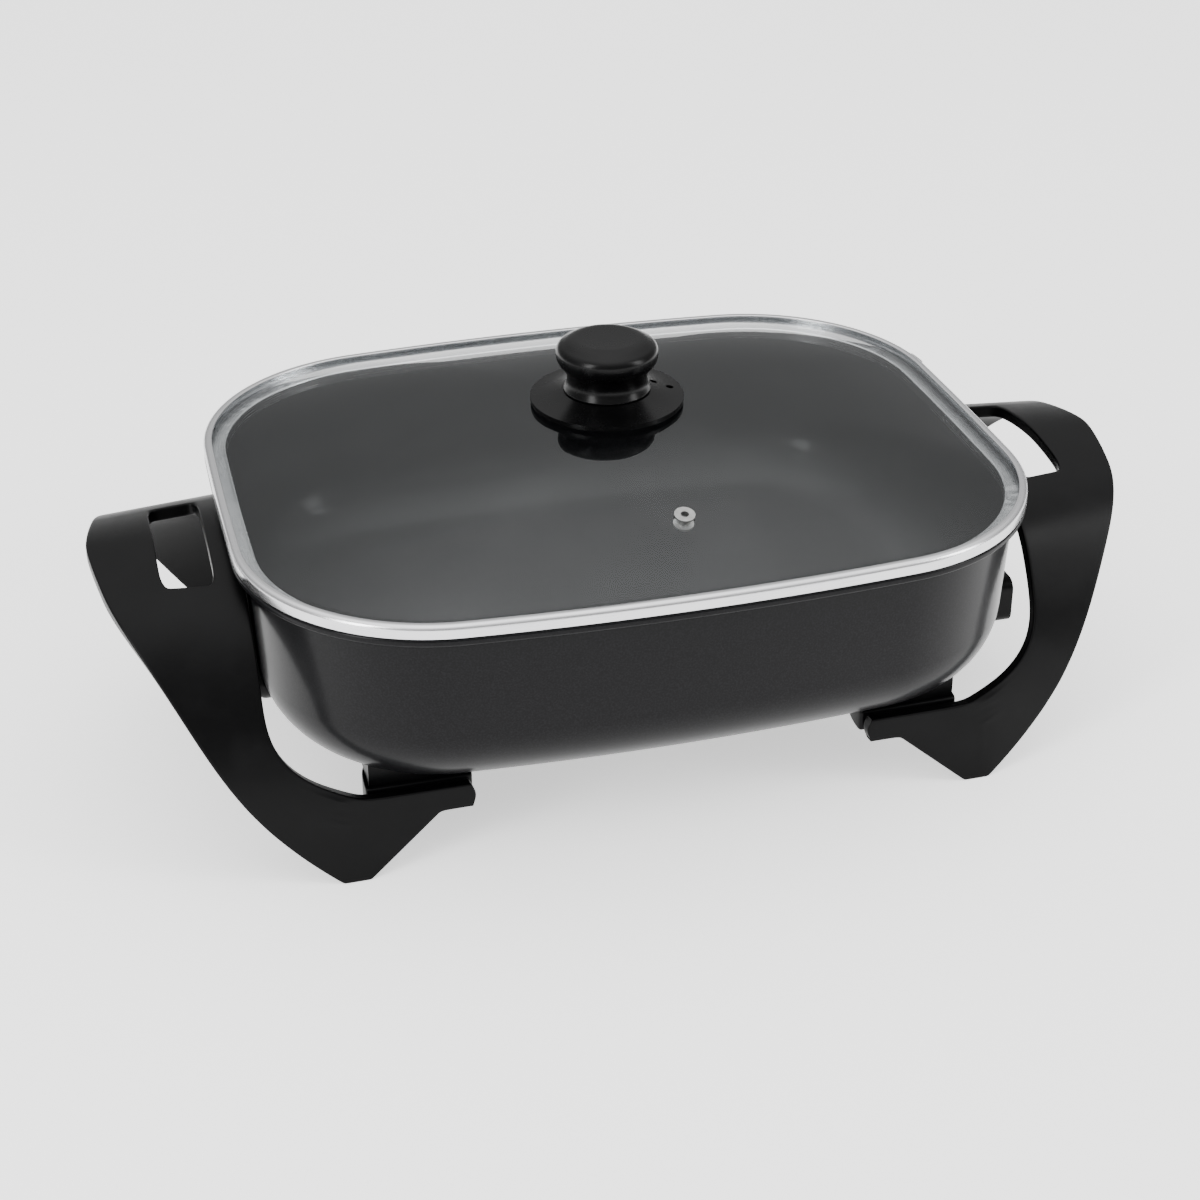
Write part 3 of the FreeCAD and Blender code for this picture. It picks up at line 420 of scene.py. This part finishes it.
glass = surface("lid_dome", ringed(glass_run, glass_shares, pan_points, pan_ways), False,
                tempered_glass(), "lid")
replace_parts(glass, "lid_glass")

# Lid band. A strip of stainless steel rolled into a channel round the glass, with a short skirt that
# drops inside the pan. Its ends meet under a small strap at the right-hand side.
BAND_LOW, BAND_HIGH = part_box("lid_band")
BAND_SHEET = 1.2 * MM
BAND_LIP = 4.5 * MM
BAND_FOOT = RIM_TOP + 0.3 * MM
SKIRT_INSET = 10.1 * MM
BAND_SLOPE = 0.2 * MM
BAND_CORNER, BAND_FOLD = 2.4 * MM, 0.8 * MM
BAND_LIP_ROUND, BAND_EDGE = 0.5 * MM, 0.4 * MM
BAND_CLOSING = np.array([0.6, 0.8]) * MM
ROLL_LINE, ROLL_LINE_DEPTH = 1.0 * MM, 0.002 * MM
STEEL_CLOUD_SIZE = 35 * MM
LINE_COLOUR, CLOUD_COLOUR = 0.5, 0.3
STEEL_ROUGHNESS, STEEL_DULLING = 0.16, 0.10
STEEL_PALE = (0.86, 0.86, 0.87, 1)
STEEL_DEEP = (0.42, 0.42, 0.44, 1)


def rolled_steel(name, space, stretch):
    """Polished rolled steel: fine lines along the roll, and soft clouds in its colour and gloss."""
    steel = Finish(name, Metallic=1.0)
    lines = steel.grain(ROLL_LINE, stretch=stretch, space=space)
    cloud = steel.grain(STEEL_CLOUD_SIZE)
    deepened = lines * LINE_COLOUR + cloud * CLOUD_COLOUR
    steel.feed(Base_Color=steel.tint(deepened, STEEL_PALE, STEEL_DEEP),
               Roughness=STEEL_ROUGHNESS + STEEL_DULLING * lines + STEEL_DULLING * cloud)
    steel.bump(lines, ROLL_LINE_DEPTH)
    return steel.material


band_run = rounded([
    (BAND_CLOSING[0], BAND_FOOT, 0),
    (0, BAND_FOOT, BAND_LIP_ROUND),
    (0, BAND_HIGH[2], BAND_CORNER),
    (BAND_LIP, BAND_HIGH[2] - BAND_SLOPE, BAND_LIP_ROUND),
    (BAND_LIP, BAND_HIGH[2] - BAND_SHEET, BAND_EDGE),
    (BAND_SHEET, BAND_HIGH[2] - BAND_SHEET, BAND_EDGE),
    (BAND_SHEET, BAND_FOOT + BAND_SHEET, BAND_EDGE),
    (SKIRT_INSET + BAND_SHEET, BAND_FOOT + BAND_SHEET, BAND_FOLD),
    (SKIRT_INSET + BAND_SHEET, BAND_LOW[2], BAND_EDGE),
    (SKIRT_INSET, BAND_LOW[2], BAND_EDGE),
    (SKIRT_INSET, BAND_FOOT, BAND_EDGE),
    (BAND_CLOSING[1], BAND_FOOT, 0),
], steps=5)
band_steel = rolled_steel("band_steel", space="UV", stretch=(0.03, 3, 1))
band = surface("lid_rim_band", ringed(band_run, np.ones(len(band_run)), pan_points, pan_ways), True,
               band_steel, "lid")
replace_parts(band, "lid_band")

# Knob. A hollow-waisted grip turned to a smooth curve in black phenolic, dished on top, on a wide thin
# skirt that keeps steam off the fingers. A screw through the glass holds both.
KNOB_LOW, KNOB_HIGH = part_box("knob")
KNOB_RADIUS = KNOB_HIGH[0]
KNOB_COLUMNS = 96
FOOT_INSET, FOOT_ROUND = 3.2 * MM, 0.8 * MM
WAIST_INSET, WAIST_RISE, WAIST_ROUND = 7.2 * MM, 8 * MM, 9 * MM
GRIP_FLARE, GRIP_RISE, GRIP_ROUND = 0.2 * MM, 16.5 * MM, 8 * MM
SHOULDER_RISE, SHOULDER_ROUND = 23.5 * MM, 5 * MM
CROWN_INSET, CROWN_RISE, CROWN_ROUND = 8 * MM, 0.2 * MM, 12 * MM
DISH_DEPTH = 0.9 * MM
RUB_SIZE, RUB_RANGE = 25 * MM, (0.45, 0.8)
RUB_COLOUR, STIPPLE_COLOUR = 0.6, 0.2
RUB_DULLING, STIPPLE_DULLING = 0.08, 0.06
STIPPLE_DEPTH = 0.010 * MM
PHENOLIC_DARK = (0.0008, 0.0008, 0.0009, 1)
PHENOLIC_PALE = (0.0035, 0.0035, 0.0038, 1)


def moulded_phenolic(name, grain_size, roughness, shine):
    """Black moulded resin: a close stipple from the mould, and paler, duller places where it rubs."""
    resin = Finish(name, Specular_IOR_Level=shine)
    rub = resin.ramp(resin.grain(RUB_SIZE, detail=4.0), *RUB_RANGE)
    stipple = resin.grain(grain_size)
    paler = rub * RUB_COLOUR + stipple * STIPPLE_COLOUR
    resin.feed(Base_Color=resin.tint(paler, PHENOLIC_DARK, PHENOLIC_PALE),
               Roughness=roughness + RUB_DULLING * rub + STIPPLE_DULLING * stipple)
    resin.bump(stipple, STIPPLE_DEPTH)
    return resin.material


around = np.linspace(0, 2 * math.pi, KNOB_COLUMNS, endpoint=False)
spokes = np.stack([np.cos(around), np.sin(around)], 1)


def turned(profile):
    """Rings about the lid's axis: ring = radius * (cos, sin) of the turn, at the profile's height."""
    return ringed(profile * (-1, 1), np.ones(len(profile)), np.zeros_like(spokes), spokes)


knob_run = rounded([
    (0, KNOB_LOW[2], 0),
    (KNOB_RADIUS - FOOT_INSET, KNOB_LOW[2], FOOT_ROUND),
    (KNOB_RADIUS - WAIST_INSET, KNOB_LOW[2] + WAIST_RISE, WAIST_ROUND),
    (KNOB_RADIUS + GRIP_FLARE, KNOB_LOW[2] + GRIP_RISE, GRIP_ROUND),
    (KNOB_RADIUS, KNOB_LOW[2] + SHOULDER_RISE, SHOULDER_ROUND),
    (KNOB_RADIUS - CROWN_INSET, KNOB_HIGH[2] + CROWN_RISE, CROWN_ROUND),
    (0, KNOB_HIGH[2] - DISH_DEPTH, 0),
], steps=12)
knob_resin = moulded_phenolic("knob_resin", grain_size=0.8 * MM, roughness=0.22, shine=0.16)
knob = surface("knob_grip", turned(knob_run), False, knob_resin, "lid")
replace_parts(knob, "knob")

# Handle-and-leg mouldings. Each end has one black phenolic arch that is grip, legs and V-shaped feet,
# with a finger window, tabs and shelves that carry the pan, and an apron screwed to its end wall.
HANDLE_LOW, HANDLE_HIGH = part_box("handle_right")
HANDLE_MIDDLE = (HANDLE_LOW[1] + HANDLE_HIGH[1]) / 2
PLATE = 6.5 * MM
EDGE = 1.6 * MM
ARCH_RADII = np.array([233, 53, 162]) * MM
ARCH_TURNS = np.radians([0, 13.5, 55, 82.5])
LEG_TURN = math.tan(math.radians(9))
TURN_START = 165 * MM
TURN_SOFTNESS = 30 * MM
OUTER_EDGE = np.array([(165.5, 0), (193.5, 25.6), (215.5, 53.8), (231.5, 86.1), (249.5, 114.3),
                       (265.5, 135.5)]) * MM
BAR = 194.6 * MM
BAR_CURVE_TOP = 98.3 * MM
HEEL = 152.5 * MM
TAB_END, TAB_NOTCH, TAB_ROOT = HANDLE_LOW[0], 117 * MM, 152.6 * MM
TAB_BOTTOM, TAB_TOP = 30 * MM, 42 * MM
WINDOW = np.array([207.6, 232.5]) * MM
WINDOW_HALF = 50 * MM
SHELF_LENGTH, SHELF_DEPTH = 52 * MM, 34 * MM
APRON_HALF, APRON_BOTTOM, APRON_CORNER, APRON_THICKNESS = 61 * MM, 58 * MM, 14 * MM, 7 * MM
FIT = 0.3 * MM
GRIP_ROWS = np.array([0, 11, 22, 32, 42, 50, 51.6, 58, 66, 74, 82, 90]) * MM
LEG_HEIGHTS = np.array([102, 94, 85, 76, 66, 57, 50, 43.6, 42, 40.4, 36, 31.6, 30, 28.4, 22, 14, 6,
                        1.6, 0]) * MM
LEG_REACH, LEG_SAMPLES = 220 * MM, 2000
EDGE_DEGREE = 4
WINDOW_BORDER = 0.022
COLUMNS_INSIDE, COLUMNS_IN_WINDOW, COLUMNS_OUTSIDE = (0, 0), (0.27, 0.36, 0.45), (0.68, 0.82, 1, 1)
SQUARING_START, SQUARING_BAND = 112 * MM, 12 * MM
TAB_SHARES = (0, 0, 0.3, 0.6)
TAB_ROUNDING, WINDOW_ROUNDING = 3.5 * MM, 2 * MM
SHELF_RUN = 176.3 * MM
SHELF_ROWS, SHELF_WIDTHS = np.array([0, 1.6, 6, 14, 24]) * MM, np.array([0.78, 0.87, 0.96, 1, 1])
SHELF_COLUMNS = np.array([-1, -0.94, -0.5, 0, 0.5, 0.94, 1])
APRON_COLUMNS = np.array([-61, -59.4, -55, -47, -30, -10, 10, 30, 47, 55, 59.4, 61]) * MM
APRON_ROWS = np.array([0, 0.03, 0.15, 0.3, 0.5, 0.75, 0.97, 1])
ROOF_REACH, ROOF_SAMPLES = 150 * MM, 601
SOFTENING = 2


def arch(run, depth):
    """Places across and up in the arch's end view, at a run from its middle and drawn in by a depth:
    three tangent arcs, point = centre + (radius - depth) * (sin turn, cos turn), then a straight leg."""
    ways = np.stack([np.sin(ARCH_TURNS), np.cos(ARCH_TURNS)], 1)
    first = np.array([[0, HANDLE_HIGH[2] - ARCH_RADII[0]]])
    centres = np.cumsum(np.concatenate([first, -np.diff(ARCH_RADII)[:, None] * ways[1:-1]]), 0)
    ends = np.concatenate([[0], np.cumsum(ARCH_RADII * np.diff(ARCH_TURNS))])
    length = np.abs(run)
    arc = np.clip(np.searchsorted(ends, length, "right") - 1, 0, len(ARCH_RADII) - 1)
    turn = np.interp(length, ends, ARCH_TURNS)
    leg = np.maximum(length - ends[-1], 0)[:, None] * np.array([ways[-1, 1], -ways[-1, 0]])
    round_way = np.stack([np.sin(turn), np.cos(turn)], 1)
    places = centres[arc] + (ARCH_RADII[arc] - depth)[:, None] * round_way + leg
    return places[:, 0] * np.sign(run), places[:, 1]


def inner_edge(height):
    """The side view's inner edge: the heel's line, a line across the tab's root, and a curve up to the
    bar beside the pan, which stands back by its root's depth * (1 - share of the climb) ** 4."""
    heel = TAB_NOTCH + (HEEL - TAB_NOTCH) * (1 - height / TAB_BOTTOM)
    root = TAB_NOTCH + (TAB_ROOT - TAB_NOTCH) * (height - TAB_BOTTOM) / (TAB_TOP - TAB_BOTTOM)
    climb = np.clip((height - TAB_TOP) / (BAR_CURVE_TOP - TAB_TOP), 0, 1)
    curve = BAR - (BAR - TAB_ROOT) * (1 - climb) ** 4
    return np.where(height < TAB_BOTTOM, heel, np.where(height < TAB_TOP, root, curve))


def walled(layers, kept):
    """Faces of a solid made from a sheet of several layers: the kept cells of its first and last layer,
    and a wall through all the layers along every border of what is kept."""
    index = np.arange(layers[..., 0].size).reshape(layers.shape[:3])
    cells = np.stack([index[:, :-1, :-1], index[:, 1:, :-1], index[:, 1:, 1:], index[:, :-1, 1:]], 3)
    held = np.pad(kept, 1)
    rows = np.stack([index[:-1, :, :-1], index[1:, :, :-1], index[1:, :, 1:], index[:-1, :, 1:]], 3)
    columns = np.stack([index[:-1, :-1], index[1:, :-1], index[1:, 1:], index[:-1, 1:]], 3)
    row_border = held[:-1, 1:-1] != held[1:, 1:-1]
    column_border = held[1:-1, :-1] != held[1:-1, 1:]
    return np.concatenate([cells[0][kept], cells[-1][kept], rows[:, row_border].reshape(-1, 4),
                           columns[:, column_border].reshape(-1, 4)])


def arch_sheet():
    """The bent plate: rows follow the arch, columns run from the tab or the bar out to the edge.
    Across = the end view's, less the turn of the legs towards the grip, which fades out at the middle.
    Out = a share of the way from the inner to the outer edge, pulled square round the window."""
    samples = np.linspace(0, LEG_REACH, LEG_SAMPLES)
    falling = arch(samples, 0)[1]
    leg_rows = np.interp(-LEG_HEIGHTS, -falling, samples)
    half = np.concatenate([GRIP_ROWS, leg_rows])
    run = np.concatenate([-half[:0:-1], half])
    height = arch(run, 0)[1]
    low = inner_edge(height)
    high = np.polyval(np.polyfit(OUTER_EDGE[:, 1], OUTER_EDGE[:, 0], EDGE_DEGREE), height)
    start, stop = (WINDOW - BAR) / (OUTER_EDGE[-1, 0] - BAR)
    shares = np.array([*COLUMNS_INSIDE, start - WINDOW_BORDER, start, *COLUMNS_IN_WINDOW,
                       stop, stop + WINDOW_BORDER, *COLUMNS_OUTSIDE])
    inward = np.zeros(len(shares))
    inward[[1, -2]] = EDGE, -EDGE
    even = np.stack([low, high], 1) @ np.stack([1 - shares, shares])
    corners = np.stack([low, np.full_like(low, WINDOW[0]), np.full_like(low, WINDOW[1]), high], 1)
    framed = corners @ np.array([np.interp(shares, [0, start, stop, 1], part) for part in np.eye(4)])
    pull = np.clip((height - SQUARING_START) / SQUARING_BAND, 0, 1)[:, None]
    tab = TAB_END + (low - TAB_END)[:, None] * TAB_SHARES + (0, EDGE, 0, 0)
    tab[:, 0] += TAB_ROUNDING * ((2 * height - TAB_TOP - TAB_BOTTOM) / (TAB_TOP - TAB_BOTTOM)) ** 2
    out = np.concatenate([tab, even + pull * (framed - even) + inward], 1)
    window_ends = np.isclose(abs(run), WINDOW_HALF)
    first_column = len(TAB_SHARES) + len(COLUMNS_INSIDE) + 1
    last_column = first_column + len(COLUMNS_IN_WINDOW) + 1
    out[window_ends, first_column] += WINDOW_ROUNDING
    out[window_ends, last_column] -= WINDOW_ROUNDING
    layers = []
    for depth in (0, EDGE, PLATE - EDGE, PLATE):
        across, up = arch(run, depth)
        turned_in = np.maximum(out - TURN_START, 0) * LEG_TURN
        across = across[:, None] - turned_in * (across / np.hypot(across, TURN_SOFTNESS))[:, None]
        layers.append(np.stack([out, across, np.broadcast_to(np.maximum(up, 0)[:, None], out.shape)], 2))
    middle_height = (height[1:] + height[:-1]) / 2
    middle_run = abs(run[1:] + run[:-1]) / 2
    kept = np.ones((len(run) - 1, out.shape[1] - 1), bool)
    kept[:, :len(TAB_SHARES)] = ((middle_height > TAB_BOTTOM) & (middle_height < TAB_TOP))[:, None]
    kept[np.ix_(middle_run < WINDOW_HALF, range(first_column, last_column))] = False
    return np.array(layers), kept


def shelf_sheet(way):
    """One shelf under the pan, a flat plate whose free corners draw in: out = the shelf's middle +
    the row's width * the column's share of the half length; across = the leg's place - depth + row."""
    front = arch(np.array([SHELF_RUN]), 0)[0][0] - FIT
    rows = front - SHELF_DEPTH + SHELF_ROWS
    out = TAB_END + SHELF_LENGTH / 2 + SHELF_WIDTHS[:, None] * SHELF_COLUMNS * SHELF_LENGTH / 2
    across = np.broadcast_to(way * rows[:, None], out.shape)
    levels = (TAB_BOTTOM, TAB_BOTTOM + EDGE, TAB_TOP - EDGE, TAB_TOP)
    layers = np.array([np.stack([out, across, np.full_like(out, level)], 2) for level in levels])
    return layers, np.ones((len(SHELF_ROWS) - 1, len(SHELF_COLUMNS) - 1), bool)


def apron_sheet():
    """The apron: a plate on the pan's end wall, out = the wall's own curve and taper + depth, between a
    round-cornered lower edge and the middle of the arch's thickness."""
    past = np.maximum(abs(APRON_COLUMNS) - APRON_HALF + APRON_CORNER, 0)
    low = APRON_BOTTOM + APRON_CORNER - np.sqrt(APRON_CORNER ** 2 - past ** 2)
    roof_across, roof = arch(np.linspace(-ROOF_REACH, ROOF_REACH, ROOF_SAMPLES), PLATE / 2)
    high = np.interp(APRON_COLUMNS - HANDLE_MIDDLE, roof_across, roof)
    height = low + APRON_ROWS[:, None] * (high - low)
    under = np.maximum(UNDERSIDE + BOTTOM_RADIUS - height, 0)
    drawn_in = BOTTOM_RADIUS - np.sqrt(BOTTOM_RADIUS ** 2 - under ** 2)
    lean = WALL_TAPER * (RIM_TOP - RIM_THICKNESS - height) / (RIM_TOP - RIM_THICKNESS - UNDERSIDE)
    bow = APRON_COLUMNS ** 2 / (2 * SHORT_SIDE_RADIUS)
    wall = HALF_LENGTH - RIM_OVERHANG - lean - drawn_in - bow
    places = np.broadcast_to(APRON_COLUMNS - HANDLE_MIDDLE, wall.shape)
    depths = (FIT, FIT + EDGE, APRON_THICKNESS - EDGE, APRON_THICKNESS)
    layers = np.array([np.stack([wall + depth, places, height], 2) for depth in depths])
    return layers, np.ones((len(APRON_ROWS) - 1, len(APRON_COLUMNS) - 1), bool)


def moulding(name, side, material):
    """One moulding: the plate, its two shelves and its apron in one mesh, mirrored to its end of the pan
    and softened by two rounds of subdivision."""
    places = []
    faces = []
    for layers, kept in (arch_sheet(), shelf_sheet(1), shelf_sheet(-1), apron_sheet()):
        faces.append(walled(layers, kept) + sum(len(part) for part in places))
        places.append(layers.reshape(-1, 3))
    mesh = bpy.data.meshes.new(name)
    spots = (np.concatenate(places) + (0, HANDLE_MIDDLE, 0)) * (side, 1, 1)
    mesh.from_pydata(spots.tolist(), [], np.concatenate(faces).tolist())
    joined = bmesh.new()
    joined.from_mesh(mesh)
    spare = [spot for spot in joined.verts if not spot.link_faces]
    bmesh.ops.delete(joined, geom=spare, context="VERTS")
    bmesh.ops.recalc_face_normals(joined, faces=joined.faces)
    joined.to_mesh(mesh)
    joined.free()
    mesh.shade_smooth()
    piece = placed(name, mesh, material, "base")
    softened = piece.modifiers.new("softened", "SUBSURF")
    softened.levels = softened.render_levels = SOFTENING
    return piece


handle_resin = moulded_phenolic("handle_resin", grain_size=1.1 * MM, roughness=0.30, shine=0.10)
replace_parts(moulding("handle_moulding_right", 1, handle_resin), "handle_right")
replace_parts(moulding("handle_moulding_left", -1, handle_resin), "handle_left")

# Small parts. Spacers and the terminal guard are the same phenolic; screws, washers, strap and eyelet
# are steel; the element's sheath is dull steel, its ends are closed by ceramic beads round plated pins.
BEAD_WHITE = (0.80, 0.77, 0.68, 1)
BEAD_STAIN = (0.62, 0.57, 0.47, 1)
BRASS_BRIGHT = (0.80, 0.60, 0.28, 1)
BRASS_DULL = (0.48, 0.33, 0.14, 1)
SILICONE_PALE = (0.66, 0.66, 0.63, 1)
SILICONE_DARK = (0.50, 0.50, 0.48, 1)
SHEATH_PALE = (0.36, 0.34, 0.31, 1)
SHEATH_BURNT = (0.20, 0.17, 0.14, 1)
PLATING_BRIGHT = (0.86, 0.86, 0.87, 1)
PLATING_DULL = (0.66, 0.65, 0.62, 1)
EYELET_PALE = (0.42, 0.42, 0.42, 1)
EYELET_DARK = (0.26, 0.26, 0.25, 1)
PATCH_DULLING = 0.15
RELIEF_PER_PATCH = 6


def plain_finish(name, first, second, grain_size, roughness, relief, **constants):
    """A finish of two close colours in soft patches, with its own gloss and relief."""
    finish = Finish(name, **constants)
    patch = finish.grain(grain_size, detail=4.0)
    finish.feed(Base_Color=finish.tint(patch, first, second),
                Roughness=roughness + PATCH_DULLING * patch)
    finish.bump(finish.grain(grain_size / RELIEF_PER_PATCH), relief)
    return finish.material


small_steel = rolled_steel("small_steel", space="Object", stretch=(1, 1, 0.2))
sheath = plain_finish("element_sheath", SHEATH_PALE, SHEATH_BURNT, grain_size=12 * MM, roughness=0.38,
                      relief=0.02 * MM, Metallic=1.0)
ceramic = plain_finish("bead_ceramic", BEAD_WHITE, BEAD_STAIN, grain_size=3 * MM, roughness=0.6,
                       relief=0.03 * MM)
plating = plain_finish("pin_plating", PLATING_BRIGHT, PLATING_DULL, grain_size=5 * MM, roughness=0.12,
                       relief=0.004 * MM, Metallic=1.0)
eyelet_steel = plain_finish("eyelet_steel", EYELET_PALE, EYELET_DARK, grain_size=3 * MM,
                            roughness=0.4, relief=0.01 * MM, Metallic=1.0)
brass = plain_finish("insert_brass", BRASS_BRIGHT, BRASS_DULL, grain_size=4 * MM, roughness=0.28,
                     relief=0.01 * MM, Metallic=1.0)
silicone = plain_finish("gasket_silicone", SILICONE_PALE, SILICONE_DARK, grain_size=6 * MM,
                        roughness=0.45, relief=0.01 * MM)
node_finishes = {
    "heating_element": sheath,
    "terminal_insulators": ceramic,
    "terminal_pins": plating,
    "terminal_guard": handle_resin,
    "band_seam": band_steel,
    "steam_eyelet": eyelet_steel,
    "knob_insert": brass,
    "knob_gasket": silicone,
    "knob_skirt": knob_resin,
}
for node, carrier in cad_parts.items():
    finish = handle_resin if node.startswith("leg_spacer") else node_finishes.get(node, small_steel)
    carrier.data.materials.clear()
    carrier.data.materials.append(finish)

# Floor and light. A plain white floor, a soft light at each side, and an even surround that grows
# brighter overhead, as a large soft ceiling light would make it.
FLOOR_HALF = 8.0
FLOOR_PALE = (0.95, 0.95, 0.95, 1)
FLOOR_WARM = (0.92, 0.92, 0.915, 1)
HORIZON = 0.45
CEILING = 2.8
CEILING_FALLOFF = 3
FLOOR_GLOW = 0.9
PANEL_WIDTH, PANEL_HEIGHT = 0.5, 1.3
PANEL_AIM = (0, 0, 0.1)
LIGHTS = {"left_front": ((-1.5, -1.0, 0.9), 26), "right_front": ((1.5, -0.9, 0.9), 18)}

floor_mesh = bpy.data.meshes.new("studio_floor")
floor_mesh.from_pydata([(-FLOOR_HALF, -FLOOR_HALF, 0), (FLOOR_HALF, -FLOOR_HALF, 0),
                        (FLOOR_HALF, FLOOR_HALF, 0), (-FLOOR_HALF, FLOOR_HALF, 0)], [], [(0, 1, 2, 3)])
floor = bpy.data.objects.new("studio_floor", floor_mesh)
bpy.context.scene.collection.objects.link(floor)
floor_paper = plain_finish("floor_paper", FLOOR_PALE, FLOOR_WARM, grain_size=0.5, roughness=0.7,
                           relief=0.02 * MM, Emission_Color=(1, 1, 1, 1),
                           Emission_Strength=FLOOR_GLOW)
floor_mesh.materials.append(floor_paper)
for name, (place, power) in LIGHTS.items():
    panel = bpy.data.lights.new(name, "AREA")
    panel.shape = "RECTANGLE"
    panel.size, panel.size_y = PANEL_WIDTH, PANEL_HEIGHT
    panel.energy = power
    lamp = bpy.data.objects.new(name, panel)
    lamp.location = place
    aim = np.array(place) - np.array(PANEL_AIM)
    lamp.rotation_euler = (math.atan2(math.hypot(aim[0], aim[1]), aim[2]), 0,
                           math.atan2(aim[1], aim[0]) + math.pi / 2)
    bpy.context.scene.collection.objects.link(lamp)
surround = bpy.data.worlds.new("surround")
surround.use_nodes = True
sky = Nodes(surround.node_tree)
direction = sky.node("ShaderNodeTexCoord", {}, {}, "Generated")
upward = sky.node("ShaderNodeSeparateXYZ", {}, {0: direction}, "Z")
upward = sky.node("ShaderNodeMath", {"operation": "MAXIMUM"}, {0: upward, 1: 0.0})
background = sky.tree.nodes["Background"]
sky.join(background.inputs["Strength"], HORIZON + CEILING * upward ** CEILING_FALLOFF)
sky.join(background.inputs["Color"], (1, 1, 1, 1))
bpy.context.scene.world = surround
